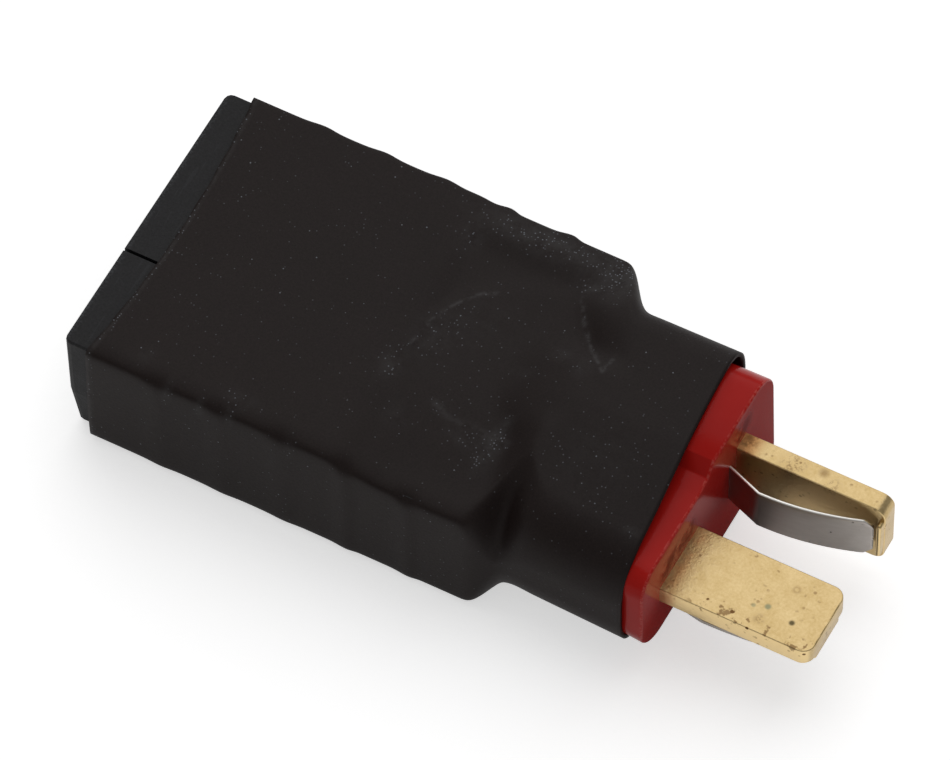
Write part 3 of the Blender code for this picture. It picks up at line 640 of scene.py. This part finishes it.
sleeveLook = {
    # mm; x runs from the socket's mouth, y across and z up from the floor
    "wall": 0.25,
    "skin": 0.3,
    "plugSkin": 0.4,
    "start": 1.5,
    "startBow": 0.75,
    "bowRun": 3.0,
    "waver": 0.03,
    "waverRun": 0.6,
    # the waver's waves: amount, turn per mm of y and of z, start
    "waves": ((1.0, 2.3, 0.0, 0.6), (0.7, 5.1, 1.0, 0.0), (0.5, 11.3, -2.0, 0.0)),
    "endNear": 1.2,
    "endFar": 2.1,
    "slantRun": 4.1,
    "slantWidth": 16.1,
    # rows and columns of the grid, and how its points are evened out
    "coarseStep": 0.22,
    "fineStep": 0.11,
    "fineBefore": 0.8,
    "fineAfter": 4.1,
    "neckRows": 24,
    "cornerSteps": 14,
    "sideSteps": 20,
    "topSteps": 120,
    "topCrowding": 0.4,
    "underSteps": 30,
    "relaxPasses": 15,
    "relaxShare": 0.6,
    # corner radii: near bottom, near top, far top, far bottom
    "wideRadii": (0.75, 1.20, 0.30, 0.45),
    "neckRadii": (2.9, 2.6, 1.9, 2.2),
    "frontRadii": (2.9, 2.6, 2.2, 2.2),
    "wideTopDrop": 0.38,
    "waistCorner": 1.9,
    "waistX": 25.8,
    "waistLeft": 0.75,
    "waistRight": 1.6,
    "waistChord": 0.5,
    "shoulder": 25.05,
    "nearRun": 1.55,
    "farRun": 2.9,
    "farPower": 0.85,
    "floorRun": 3.2,
    "pull": 0.2,
    "pullAt": 1.7,
    "taper": 0.35,
    "taperFront": 0.3,
    "taperRun": 7.0,
    "ribCount": 5,
    "ribFirst": 6.15,
    "ribPitch": 3.85,
    "ribClimb": 1.2,
    "ribFlat": 0.05,
    "ribFall": 0.45,
    "ribFar": 0.20,
    "ribNear": 0.10,
    "ribCorner": 0.55,
    "lowHalf": 3.65,
    "tallHalf": 4.7,
    "step": 0.45,
    "drape": 1.6,
    "neckDrape": 1.1,
    "neckMargin": 0.8,
    "rise": {"y": (-9.0, -8.0, -6.0, -4.0, -2.8, -1.5, 1.0, 4.0, 6.0, 7.5, 9.0),
             "from": (25.4, 25.0, 24.9, 24.5, 23.2, 21.9, 21.4, 22.2, 23.4, 24.6, 25.0),
             "to": (28.0, 27.8, 27.1, 26.6, 26.9, 28.0, 28.4, 28.4, 28.2, 28.1, 28.2)},
    "riseStep": {"y": (1.5, 2.2, 3.3, 4.7, 6.0, 7.5),
                 "x": (27.5, 26.9, 25.9, 24.8, 24.0, 23.8)},
    "stepRun": 3.4,
    "stepShare": 0.60,
    "stepNear": (1.5, 2.0),
    "stepFar": (7.8, 3.4),
    "wellStart": 15.8,
    "recess": 0.26,
    "recessRun": 1.9,
    "recessFarRun": 1.7,
    "recessEnd": (25.4, 3.0),
    "recessLeft": {"y": (-9.0, 0.9, 2.8, 5.5, 7.2, 9.5),
                   "x": (16.1, 16.1, 16.0, 15.7, 15.4, 15.4)},
    "plateauEdge": {"x": (16.8, 17.1, 17.6, 18.0, 18.8, 19.5, 21.4, 23.3, 24.4),
                    "y": (0.0, 1.7, 2.7, 3.7, 4.4, 5.0, 5.9, 6.4, 7.0)},
    "plateauSlope": 1.3,
    "plateauDip": 0.16,
    "rimCrest": 8.05,
    "rimFall": 0.22,
    "rimRun": 1.2,
    "rimReach": 1.7,
    "rimPower": 1.3,
    "nearDrop": 0.42,
    "nearDropX": (16.7, 3.5),
    "nearDropY": (-2.5, 6.0),
    "arc": ((19.6, 4.3), (18.9, 3.9), (18.3, 3.2), (17.6, 2.0), (17.2, 0.7), (17.05, -0.8)),
    "hook": ((23.7, 7.0), (24.0, 6.0), (24.8, 4.7), (25.9, 3.3), (27.0, 2.1), (27.6, 1.5),
             (27.7, 2.5)),
    "lowerLine": ((20.0, -3.6), (21.3, -4.1), (22.8, -4.1), (24.8, -4.3)),
    # raised lines: height and half width; pale lines: amount and half width
    "raised": {"arc": (0.03, 0.18), "hook": (0.05, 0.20)},
    "pale": {"arc": (1.0, 0.10), "hook": (1.0, 0.11), "lowerLine": (0.4, 0.25)},
    "cutDust": 0.8,
    "dustLevel": 6.8,
    # dusty places: x, y, radius along x, radius along y, amount
    "dusty": ((16.6, 6.9, 0.7, 0.8, 0.9), (16.7, -2.6, 0.6, 1.0, 0.8), (17.8, 0.1, 1.2, 1.6, 0.45),
              (24.2, -3.6, 0.4, 0.9, 1.0), (24.2, 6.9, 0.8, 0.4, 0.9), (26.5, 1.2, 0.5, 0.6, 0.5),
              (20.4, -3.7, 0.7, 0.4, 0.6), (24.9, 2.0, 0.8, 0.4, 0.5), (23.4, 0.1, 0.8, 0.5, 0.4),
              (22.4, -5.0, 1.4, 0.5, 0.45), (18.5, -5.3, 0.9, 0.8, 0.35),
              (24.0, -5.0, 0.5, 1.3, 1.0), (6.6, -9.8, 0.25, 0.7, 1.0), (8.6, -9.8, 0.25, 0.5, 0.9),
              (10.4, -9.7, 0.3, 0.8, 1.0), (10.6, -8.6, 1.0, 0.6, 0.5), (4.6, -8.4, 0.8, 0.6, 0.35),
              (14.2, -9.7, 0.3, 0.6, 0.7), (20.5, 8.6, 4.0, 0.9, 1.1), (25.4, 8.3, 1.6, 1.2, 1.2),
              (19.5, 2.0, 2.2, 2.4, 0.25), (30.0, -3.6, 2.6, 2.6, 0.3),
              (33.6, -6.6, 0.35, 0.35, 1.0)),
}
wideTop = housingHigh[2] + sleeveLook["skin"]


def sleeveColumns(look, s):
    # The section's points at every x, as y and z: near bottom corner, near side, near top
    # corner, top, far top corner, far side, far bottom corner and bottom
    middle, centerZ = plugMiddle[1:]
    half = (housingHigh[1] - housingLow[1]) / 2 - look["ribFar"] + look["skin"]
    plugHalf = (plugHigh[1] - plugLow[1]) / 2 + look["plugSkin"]
    endX = plugHigh[0] - mouthX
    rear = np.clip((endX - look["endNear"] - s) / look["taperRun"], 0, 1)
    taper = look["taper"] * mix(look["taperFront"], 1.0, rear)
    # Each rib climbs slowly and falls off fast
    ribs = sum(climbing(s, rib - look["ribClimb"], look["ribClimb"])
               * (1 - climbing(s, rib + look["ribFlat"], look["ribFall"]))
               for rib in look["ribFirst"] + look["ribPitch"] * np.arange(look["ribCount"]))
    near = climbing(s, look["shoulder"], look["nearRun"])
    far = climbing(s, look["shoulder"], look["farRun"]) ** look["farPower"]
    pull = look["pull"] * bell(s - look["shoulder"] - look["pullAt"])
    nearY = mix(-half - look["ribNear"] * ribs, middle - plugHalf + taper + pull, near)
    farY = mix(half + look["ribFar"] * ribs, middle + plugHalf - taper - pull / 2, far)
    nb, nt, ft, fb = [mix(wide, mix(front, neck, rear), share) for wide, front, neck, share
                      in zip(look["wideRadii"], look["frontRadii"], look["neckRadii"],
                             (near, near, far, far))]
    lowNear = mix(0.0, centerZ - look["lowHalf"] - look["plugSkin"],
                  climbing(s, look["shoulder"], look["floorRun"]))
    # The near top corner widens into a soft triangle at the waist, sharp on its left
    after = s - look["waistX"]
    widen = bell(after / np.where(after < 0, look["waistLeft"], look["waistRight"]))
    nt = nt + look["waistCorner"] * widen
    # The wide part's near top corner is flatter than a circle
    ntDrop = nt * mix(look["wideTopDrop"] / look["wideRadii"][1], 1.0, near)
    ntDrop = ntDrop + look["ribCorner"] * ribs * (1 - near)
    turn = np.linspace(0, 0.5 * math.pi, look["cornerSteps"], endpoint=False)

    def corner(y, z, ySign, zSign, radius, flip, drop=None, straight=0.0):
        # A quarter ellipse, bent towards its chord by the share straight
        angle = turn[::-1] + turn[1] if flip else turn
        drop = radius if drop is None else drop
        chord = angle / (0.5 * math.pi)
        return (y - ySign * radius * (1 - mix(np.sin(angle), chord, straight)),
                z - zSign * drop * (1 - mix(np.cos(angle), 1 - chord, straight)))

    def drapedFloor(y):
        # The near half's underside rises to the plug's low half in a slack curve
        stepY = middle + look["step"]
        share = np.clip((stepY - y) / (stepY - nearY - nb), 0, 1)
        return y, lowNear * share ** look["drape"]

    side = np.linspace(0, 1, look["sideSteps"], endpoint=False)
    # Across the top, the columns stand closer together towards both corners
    across = np.linspace(0, 1, look["topSteps"], endpoint=False)
    across = mix(across, 0.5 - 0.5 * np.cos(math.pi * across), look["topCrowding"])
    under = np.linspace(0, 1, look["underSteps"], endpoint=False)
    floor = np.zeros_like(s)
    top = np.full_like(s, wideTop)
    parts = [
        corner(nearY, lowNear, -1, -1, nb, False),
        (nearY + 0 * side, mix(lowNear + nb, top - ntDrop, side)),
        corner(nearY, top, -1, 1, nt, True, ntDrop, look["waistChord"] * widen),
        (mix(nearY + nt, farY - ft, across), top + 0 * across),
        corner(farY, top, 1, 1, ft, False),
        (farY + 0 * side, mix(top - ft, floor + fb, side)),
        corner(farY, floor, 1, -1, fb, True),
        drapedFloor(mix(farY - fb, nearY + nb, under)),
    ]
    y = np.concatenate([np.broadcast_to(p[0], (len(s), p[0].shape[-1])) for p in parts], 1)
    z = np.concatenate([np.broadcast_to(p[1], (len(s), p[1].shape[-1])) for p in parts], 1)
    return y, z, nearY


def topLift(look, x, y, nearY):
    # Height above the flat wide top: the climb to the neck, and where it hasn't climbed yet,
    # less the wells' recess with the plateau inside it, the falling rims and the near side's
    # drop. The arc and hook lines are added on top
    middle, centerZ = plugMiddle[1:]
    begin = np.interp(y, look["rise"]["y"], look["rise"]["from"])
    end = np.interp(y, look["rise"]["y"], look["rise"]["to"])
    climb = climbing(x, begin, end - begin)
    # On the far half, part of the climb is a short step just behind the hook line
    stepX = np.interp(y, look["riseStep"]["y"], look["riseStep"]["x"])
    stepShare = look["stepShare"] * climbing(y, *look["stepNear"]) * falling(y, *look["stepFar"])
    stepClimb = 1 - (1 - np.clip((x - stepX) / look["stepRun"], 0, 1)) ** 2
    climb = mix(climb, stepClimb, stepShare)
    # The neck's height falls from the plug's tall half to its low half
    nearEnd = nearY + look["neckMargin"]
    share = np.clip((y - nearEnd) / (middle + look["step"] - nearEnd), 0, 1)
    low = centerZ + look["lowHalf"] + look["plugSkin"]
    high = centerZ + look["tallHalf"] + look["plugSkin"]
    neck = mix(low, high, 1 - (1 - share) ** look["neckDrape"]) - wideTop
    left = np.interp(y, look["recessLeft"]["y"], look["recessLeft"]["x"])
    inside = climbing(x, left, look["recessRun"]) * falling(x, *look["recessEnd"])
    inside = inside * falling(y, look["rimCrest"], look["recessFarRun"])
    edgeY = np.interp(x, look["plateauEdge"]["x"], look["plateauEdge"]["y"])
    plateau = smooth((edgeY - y) / look["plateauSlope"] + 0.5)
    recess = inside * mix(look["recess"], look["plateauDip"], plateau)
    rims = look["rimFall"] * climbing(x, look["wellStart"], look["rimRun"])
    rims = rims * climbing(y, look["rimCrest"], look["rimReach"]) ** look["rimPower"]
    drop = look["nearDrop"] * climbing(x, *look["nearDropX"]) * falling(y, *look["nearDropY"])
    ridge = sum(height * bell(routeDistance(x, y, look[name]) / width)
                for name, (height, width) in look["raised"].items())
    return neck * climb - (recess + rims + drop) * (1 - climb) + ridge


def relax(points, passes, share):
    # Each point moves towards the mean of its neighbours; columns are closed, rows aren't
    for _ in range(passes):
        around = (np.roll(points, 1, 1) + np.roll(points, -1, 1)) / 2
        along = points.copy()
        along[1:-1] = (points[2:] + points[:-2]) / 2
        points = mix(points, (around + along) / 2, share)
    return points


def sleevePoints(look):
    # Rows are sections from the mouth to the plug's end, closer together over the wells and
    # the shoulders; at both ends x is shifted so that the cuts bow, slant and waver
    end = plugHigh[0] - mouthX - look["endNear"]
    wells, neck = look["wellStart"] - look["fineBefore"], look["shoulder"] + look["fineAfter"]
    s = np.concatenate((np.arange(look["start"], wells, look["coarseStep"]),
                        np.arange(wells, neck, look["fineStep"]),
                        np.linspace(neck, end, look["neckRows"])))[:, None]
    y, z, nearY = sleeveColumns(look, s)
    # The lift fades out down the sides
    upper = climbing(z, wideTop / 2, wideTop / 2 - look["skin"])
    z = z + topLift(look, s + 0 * y, y, nearY) * upper
    half = (housingHigh[1] - housingLow[1]) / 2 + look["skin"]
    fromMouth = s - look["start"]
    bow = look["startBow"] * (1 - (y / half) ** 2) * np.clip(1 - fromMouth / look["bowRun"], 0, 1)
    slant = smooth((y - plugMiddle[1]) / look["slantWidth"] + 0.5)
    slant = slant * (look["endFar"] - look["endNear"])
    slant = slant * np.clip(1 - (end - s) / look["slantRun"], 0, 1)
    # The knife's cut wavers at the mouth
    waver = sum(amount * np.sin(perY * y + perZ * z + start)
                for amount, perY, perZ, start in look["waves"])
    waver = look["waver"] * waver * np.clip(1 - fromMouth / look["waverRun"], 0, 1)
    points = np.stack((mouthX + s + bow + waver - slant, y, np.maximum(z, 0.0)), -1)
    return relax(points, look["relaxPasses"], look["relaxShare"])


def surfaceNormals(points):
    # Unit normals of the grid, from the differences along its rows and columns
    along = np.gradient(points, axis=0)
    around = np.roll(points, -1, 1) - np.roll(points, 1, 1)
    normal = np.cross(along, around)
    return normal / np.linalg.norm(normal, axis=-1, keepdims=True)


def makeSleeve(look, material):
    # The inner wall is the outer one moved in, with every sixth row, walked back to the mouth
    outer = sleevePoints(look)
    normal = surfaceNormals(outer)
    topColumn = 2 * look["cornerSteps"] + look["sideSteps"] + look["topSteps"] // 2
    if normal[:, topColumn, 2].mean() < 0:
        normal = -normal
    inner = outer - normal * look["wall"]
    inner = np.concatenate((inner[-1:], inner[-2::-6], inner[:1]))
    lastLip = mix(outer[-1:], inner[:1], 0.5)
    firstLip = mix(inner[-1:], outer[:1], 0.5)
    points = np.concatenate((outer, lastLip, inner, firstLip))
    x, y, z = points[..., 0] - mouthX, points[..., 1], points[..., 2]
    ridge = sum(amount * bell(routeDistance(x, y, look[name]) / width)
                for name, (amount, width) in look["pale"].items()) * (z > wideTop / 2)
    dust = sum(amount * np.exp(-((x - px) / rx) ** 2 - ((y - py) / ry) ** 2)
               for px, py, rx, ry, amount in look["dusty"]) * smooth(z - look["dustLevel"])
    # The cut at the mouth is pale and dusty
    dust[:2] += look["cutDust"]
    dust[-2:] += look["cutDust"]
    return makePiece("sleeveSkin", points, gridFaces(*points.shape[:2]), material,
                     {"ridge": ridge, "dust": dust})


sleeve = makeSleeve(sleeveLook, shrink)
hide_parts("shrink_sleeve")
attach(sleeve, "adapter")
print("sleeve ready", len(sleeve.data.polygons))


# Plug body: the section's outline carried from the rear to the front face

plugLook = {
    # mm; corner radii: near bottom, near top, far top, far bottom
    "frontRadii": (2.4, 1.5, 2.3, 1.4),
    "rearRadii": (3.0, 2.8, 1.8, 2.0),
    "lowHalf": 3.65,
    "tallHalf": 4.7,
    "step": 0.45,
    "stepRun": 0.7,
    "stepFoot": 2.6,
    "footShare": 0.2,
    "taper": 0.35,
    "taperRun": 7.0,
    "lean": 0.45,
    "length": 8.2,
    "frontEdge": 0.16,
    "rearEdge": 0.6,
    "rearMargin": 1.0,
    "frontMargin": 0.1,
}


def plugPoints(look):
    # Rows run along x: rear cap, rounded rear edge, sides, rounded front edge, front cap.
    # Each row is the outline, moved in by its inset and shrunk to its middle in the caps
    width = plugHigh[1] - plugLow[1]
    turn = np.linspace(0, 0.5 * math.pi, 7)
    edge, rear, length = look["frontEdge"], look["rearEdge"], look["length"]
    sides = np.linspace(-length + rear + look["rearMargin"], -edge - look["frontMargin"], 8)
    x = np.concatenate((np.full(3, -length), -length + rear * (1 - np.cos(turn)), sides,
                        -edge + edge * np.sin(turn), np.zeros(4)))
    inset = np.concatenate((np.full(3, rear), rear * (1 - np.sin(turn)), 0 * sides,
                            edge * (1 - np.cos(turn)), np.full(4, edge)))[:, None]
    shrink = np.ones(len(x))
    shrink[:3] = 0, 0.4, 0.8
    shrink[-4:] = 0.8, 0.55, 0.28, 0
    shrink = shrink[:, None]
    rearShare = np.clip(-x / look["taperRun"], 0, 1)[:, None]
    nb, nt, ft, fb = [mix(front, back, rearShare) - inset for front, back
                      in zip(look["frontRadii"], look["rearRadii"])]
    near = -width / 2 + inset + look["taper"] * rearShare
    far = width / 2 - inset - look["taper"] * rearShare
    tall, low = look["tallHalf"] - inset, look["lowHalf"] - inset
    angle = np.linspace(0, 0.5 * math.pi, 15)
    # The step between the halves: a long low foot, then the ramp itself
    ease = np.array((0, 0.06, 0.3, 0.65, 0.94))
    stepY = look["step"]
    rampStart, footStart = stepY - look["stepRun"], stepY - look["stepFoot"] * look["stepRun"]
    foot = mix(low, tall, look["footShare"])
    rampY = np.concatenate((mix(footStart, rampStart, ease), mix(rampStart, stepY, ease),
                            (stepY,)))
    rampZ = np.concatenate((mix(low, foot, ease), mix(foot, tall, ease), tall), 1)
    rampY = rampY + 0 * rampZ
    y = np.concatenate((near + nb - nb * np.sin(angle), near + nt - nt * np.cos(angle), rampY,
                        far - ft + ft * np.sin(angle), far - fb + fb * np.cos(angle),
                        rampY[:, ::-1]), 1)
    z = np.concatenate((-low + nb - nb * np.cos(angle), low - nt + nt * np.sin(angle), rampZ,
                        tall - ft + ft * np.cos(angle), -tall + fb - fb * np.sin(angle),
                        -rampZ[:, ::-1]), 1)
    lean = look["lean"] * (z + tall) / (2 * tall) * smooth(2 * y / width)
    return np.stack((faceX + x[:, None] + 0 * y, plugMiddle[1] + (y - lean) * shrink,
                     plugMiddle[2] + z * shrink), -1)


def closeSeams(piece):
    # Joins points that coincide and turns every face outwards
    bm = bmesh.new()
    bm.from_mesh(piece.data)
    bmesh.ops.remove_doubles(bm, verts=bm.verts, dist=1e-7)
    bmesh.ops.recalc_face_normals(bm, faces=bm.faces)
    bm.to_mesh(piece.data)
    bm.free()


def place(piece, node, body, slot):
    closeSeams(piece)
    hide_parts(node)
    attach(piece, body)


plugShape = plugPoints(plugLook)
plug = makePiece("plugShell", plugShape, openFaces(*plugShape.shape[:2]), red)
place(plug, "plug_body", "adapter", "red_nylon")
print("plug ready")


# Blades: slabs with rounded edges, flat ones first, then turned and moved to their places

bladeLook = {
    # mm; x from the plug's face, y across the blade, z through it
    "reach": 9.1,
    "tailEnd": -11.1,
    "tailHalf": 1.5,
    "seat": -5.0,
    "seatRun": 0.3,
    "half": 2.33,
    "thickness": 1.2,
    "corner": 0.75,
    "edge": 0.07,
    "lipX": (8.74, 9.06),
    "lipHalf": 1.45,
    "lipZ": (-1.08, -0.3),
    "lipCorner": 0.16,
    "lipEdge": 0.12,
}


def slabPoints(outline, low, high, edge):
    # Rows go from the top's middle line outwards, round the rounded edge and back along the
    # underside; each row is the outline, moved in by the edge's own quarter circles
    tangent = np.roll(outline, -1, 0) - np.roll(outline, 1, 0)
    tangent = tangent / np.linalg.norm(tangent, axis=1, keepdims=True)
    outward = np.stack((-tangent[:, 1], tangent[:, 0]), 1)
    turn = np.linspace(0, 0.5 * math.pi, 6)
    cap = np.array((0, 0.33, 0.66, 0.9))
    inset = np.concatenate((edge + 0 * cap, edge * (1 - np.sin(turn)),
                            edge * (1 - np.cos(turn)), edge + 0 * cap))
    height = np.concatenate((high + 0 * cap, high - edge * (1 - np.cos(turn)),
                             low + edge * (1 - np.sin(turn)), low + 0 * cap))
    shrink = np.concatenate((cap, np.ones(2 * len(turn)), cap[::-1]))
    flat = outline[None] - outward[None] * inset[:, None, None]
    y = flat[..., 1] * shrink[:, None]
    return np.stack((flat[..., 0], y, height[:, None] + 0 * y), -1)


def bladeOutline(look):
    # From the tail along one side, round the tip's corner and back mirrored
    r, half, tip = look["corner"], look["half"], look["reach"]
    tail = np.linspace(look["tailEnd"], look["seat"] - look["seatRun"], 10)
    body = np.linspace(look["seat"], tip - r, 40)[:-1]
    turn = np.linspace(0.5 * math.pi, 0, 9)
    end = np.linspace(half - r, 0, 6)[1:]
    x = np.concatenate((tail, body, tip - r + r * np.cos(turn), tip + 0 * end))
    y = np.concatenate((look["tailHalf"] + 0 * tail, half + 0 * body,
                        half - r + r * np.sin(turn), end))
    side = np.stack((x, y), 1)
    back = np.linspace(-1, 1, 6)[1:-1] * look["tailHalf"]
    back = np.stack((look["tailEnd"] + 0 * back, back), 1)
    return np.concatenate((side, side[-2::-1] * (1, -1), back))


def lipOutline(look):
    # Two rounded corners on one side, then the same mirrored
    (low, high), half, r = look["lipX"], look["lipHalf"], look["lipCorner"]
    turn = np.linspace(0, 0.5 * math.pi, 5)
    x = np.concatenate((low + r - r * np.cos(turn), high - r + r * np.sin(turn)))
    y = np.concatenate((half - r + r * np.sin(turn), half - r + r * np.cos(turn)))
    return np.stack((np.concatenate((x, x[::-1])), np.concatenate((y, -y[::-1]))), 1)


flatLow, flatHigh = boxOf("flat_blade")
uprightHigh = boxOf("upright_blade")[1]
flatY = (flatLow[1] + flatHigh[1]) / 2
uprightY = uprightHigh[1] - bladeLook["thickness"] / 2


def placeFlat(points):
    return points + (faceX, flatY, plugMiddle[2])


def placeUpright(points):
    # Turned a quarter about x, so that the blade's underside faces the flat blade
    turned = np.stack((points[..., 0], points[..., 2], -points[..., 1]), -1)
    return turned + (faceX, uprightY, plugMiddle[2])


def makeBlade(look, name, node, where, material):
    half = look["thickness"] / 2
    slab = slabPoints(bladeOutline(look), -half, half, look["edge"])
    lip = slabPoints(lipOutline(look), *look["lipZ"], look["lipEdge"])
    points = np.concatenate([where(part).reshape(-1, 3) for part in (slab, lip)])
    faces = np.concatenate((openFaces(*slab.shape[:2]),
                            openFaces(*lip.shape[:2]) + slab.shape[0] * slab.shape[1]))
    place(makePiece(name, points, faces, material), node, "adapter", "gold_plate")


makeBlade(bladeLook, "flatBladeShell", "flat_blade", placeFlat, flatGold)
makeBlade(bladeLook, "uprightBladeShell", "upright_blade", placeUpright, uprightGold)


# Leaf springs: a strip carried along its bowed path, its free corners cut off

leafLook = {
    # mm; x from the plug's face, depths below the blade's underside
    "tip": 8.56,
    "bend": 2.15,
    "bow": 1.55,
    "tipDepth": 0.27,
    "rootDepth": 0.75,
    "rootEnd": -1.1,
    "half": 1.575,
    "thickness": 0.22,
    "cornerCut": 0.5,
    "roundShare": 0.9,
}


def leafPoints(look):
    # Rows run along the path: straight to the plug's face, sloping down to the bend and
    # then rising to the tip, ever faster. Each row is a rounded strip section
    share = np.linspace(0, 1, 41)
    slopeShare = np.linspace(0, 1, 7)[1:-1]
    x = np.concatenate(((look["rootEnd"], 0.0), slopeShare * look["bend"],
                        mix(look["bend"], look["tip"], share)))
    depth = np.concatenate(((look["rootDepth"],) * 2,
                            mix(look["rootDepth"], look["bow"], slopeShare),
                            mix(look["bow"], look["tipDepth"], share ** 2)))
    path = np.stack((x, -depth), 1)
    slope = np.gradient(path, axis=0)
    slope = slope / np.linalg.norm(slope, axis=1, keepdims=True)
    normal = np.stack((-slope[:, 1], slope[:, 0]), 1)
    cut = np.clip(look["cornerCut"] - (look["tip"] - x), 0, look["cornerCut"])
    half = (look["half"] - cut)[:, None]
    t = look["thickness"] / 2
    turn = np.linspace(-0.5 * math.pi, 0.5 * math.pi, 7)
    across = np.linspace(1, -1, 9)[1:-1]
    r = t * look["roundShare"]
    y = np.concatenate((half - r + r * np.cos(turn), across * (half - r),
                        -(half - r + r * np.cos(turn)), -across * (half - r)), 1)
    off = np.concatenate((t * np.sin(turn), t + 0 * across,
                          -t * np.sin(turn), -t + 0 * across))
    rows = np.stack((path[:, :1] + normal[:, :1] * off, y,
                     path[:, 1:] + normal[:, 1:] * off), -1)
    middleLine = rows * (1, 0, 1)
    return np.concatenate((middleLine[:1], rows, middleLine[-1:]))


def makeLeaf(name, node, where, body):
    points = leafPoints(leafLook) - (0, 0, bladeLook["thickness"] / 2)
    piece = makePiece(name, where(points), openFaces(*points.shape[:2]), steel)
    place(piece, node, body, "spring_steel")


makeLeaf("flatLeafShell", "flat_blade_spring", placeFlat, "flat_leaf")
makeLeaf("uprightLeafShell", "upright_blade_spring", placeUpright, "upright_leaf")
print("blades ready")


# Floor, world and lamp

studio = {
    "worldLight": 0.31,
    "floorHalf": 3.0,  # m
    "floorColor": 0.86,
    "floorGlow": 0.55,
    # places on the floor in mm, each edge with its fade: least x, most x, least y, most y
    "underBlades": ((11.5, 2.0), (21.0, 3.0), (-8.5, 2.0), (6.0, 3.0)),
    "underShade": 0.6,
    # most x and least y
    "beforeNear": ((14.4, 1.2), (-9.5, 1.0)),
    "beforeFar": ((17.0, 2.0), (2.5, 1.5)),
    "beforeStart": (faceX - 1.0, 1.0),
    "beforeSide": (13.0, 2.0),
    "beforeShade": 0.8,
    # most x and most y
    "foot": ((11.0, 2.0), (-9.0, 1.0)),
    "footShade": 0.25,
    "glossShare": 0.85,
    "boxPower": 4.9,
    "boxWidth": 1.1,
    "boxHeight": 1.36,
    "boxPlace": (-0.18, 0.49, 0.74),  # m
}


def floorShades(finish, look):
    # What gloss sees less of: the whole floor before the plug's face, and the glow under
    # the blades and at the sleeve's near foot
    x, y, _ = finish.axes()
    fromX, toX, fromY, toY = look["underBlades"]
    under = x.above(*fromX) * x.below(*toX) * y.above(*fromY) * y.below(*toY)
    before = sum(x.below(*toX) * y.above(*fromY)
                 for toX, fromY in (look["beforeNear"], look["beforeFar"])).clip()
    before = before * x.above(*look["beforeStart"]) * y.below(*look["beforeSide"])
    toX, toY = look["foot"]
    foot = x.below(*toX) * y.below(*toY)
    return before * look["beforeShade"], under * look["underShade"] + foot * look["footShade"]


def makeFloor(look):
    mesh = bpy.data.meshes.new("floor")
    half = look["floorHalf"]
    mesh.from_pydata([(-half, -half, 0), (half, -half, 0), (half, half, 0), (-half, half, 0)],
                     [], [(0, 1, 2, 3)])
    floor = bpy.data.objects.new("floor", mesh)
    scene.collection.objects.link(floor)
    finish = Finish("paperFloor")
    finish.set(color=(look["floorColor"],) * 3, roughness=0.9, specular=0.0,
               normal=finish.bump(finish.noise(0.35, 3.0, 0.6), 0.06))
    glow = finish.node("ShaderNodeEmission", None,
                       {"Color": (1.0, 1.0, 1.0), "Strength": look["floorGlow"]})
    nothing = finish.node("ShaderNodeEmission", None, {"Strength": 0.0})
    path = finish.tree.nodes.new("ShaderNodeLightPath")
    seen, glossy, sent = [Value(finish, path.outputs[name]) for name in
                          ("Is Camera Ray", "Is Glossy Ray", "Is Transmission Ray")]
    before, dim = floorShades(finish, look)
    share = (seen + glossy * (look["glossShare"] - dim) + sent).clip()
    glow = finish.node("ShaderNodeMixShader", None, {0: share, 1: nothing, 2: glow})
    base = Value(finish, finish.shader.outputs[0])
    both = finish.node("ShaderNodeAddShader", None, {0: base, 1: glow})
    both = finish.node("ShaderNodeMixShader", None,
                       {0: 1.0 - glossy * before, 1: nothing, 2: both})
    output = finish.tree.nodes["Material Output"]
    finish.tree.links.new(both.socket, output.inputs["Surface"])
    mesh.materials.append(finish.material)


def makeWorld(look):
    # A dim even light, and plain white behind the floor for the camera
    world = bpy.data.worlds.new("studio")
    scene.world = world
    world.use_nodes = True
    tree = world.node_tree
    soft = tree.nodes["Background"]
    white = tree.nodes.new("ShaderNodeBackground")
    for node, strength in ((soft, look["worldLight"]), (white, 1.0)):
        node.inputs["Color"].default_value = (1, 1, 1, 1)
        node.inputs["Strength"].default_value = strength
    path = tree.nodes.new("ShaderNodeLightPath")
    choose = tree.nodes.new("ShaderNodeMixShader")
    tree.links.new(path.outputs["Is Camera Ray"], choose.inputs[0])
    tree.links.new(soft.outputs[0], choose.inputs[1])
    tree.links.new(white.outputs[0], choose.inputs[2])
    tree.links.new(choose.outputs[0], tree.nodes["World Output"].inputs["Surface"])


def makeSoftbox(look):
    data = bpy.data.lights.new("softbox", "AREA")
    data.shape = "RECTANGLE"
    data.energy = look["boxPower"]
    data.size = look["boxWidth"]
    data.size_y = look["boxHeight"]
    lamp = bpy.data.objects.new("softbox", data)
    lamp.location = look["boxPlace"]
    lamp.rotation_euler = (-Vector(look["boxPlace"])).to_track_quat("-Z", "Y").to_euler()
    scene.collection.objects.link(lamp)


makeFloor(studio)
makeWorld(studio)
makeSoftbox(studio)
scene.view_settings.view_transform = "Standard"
print("studio ready")
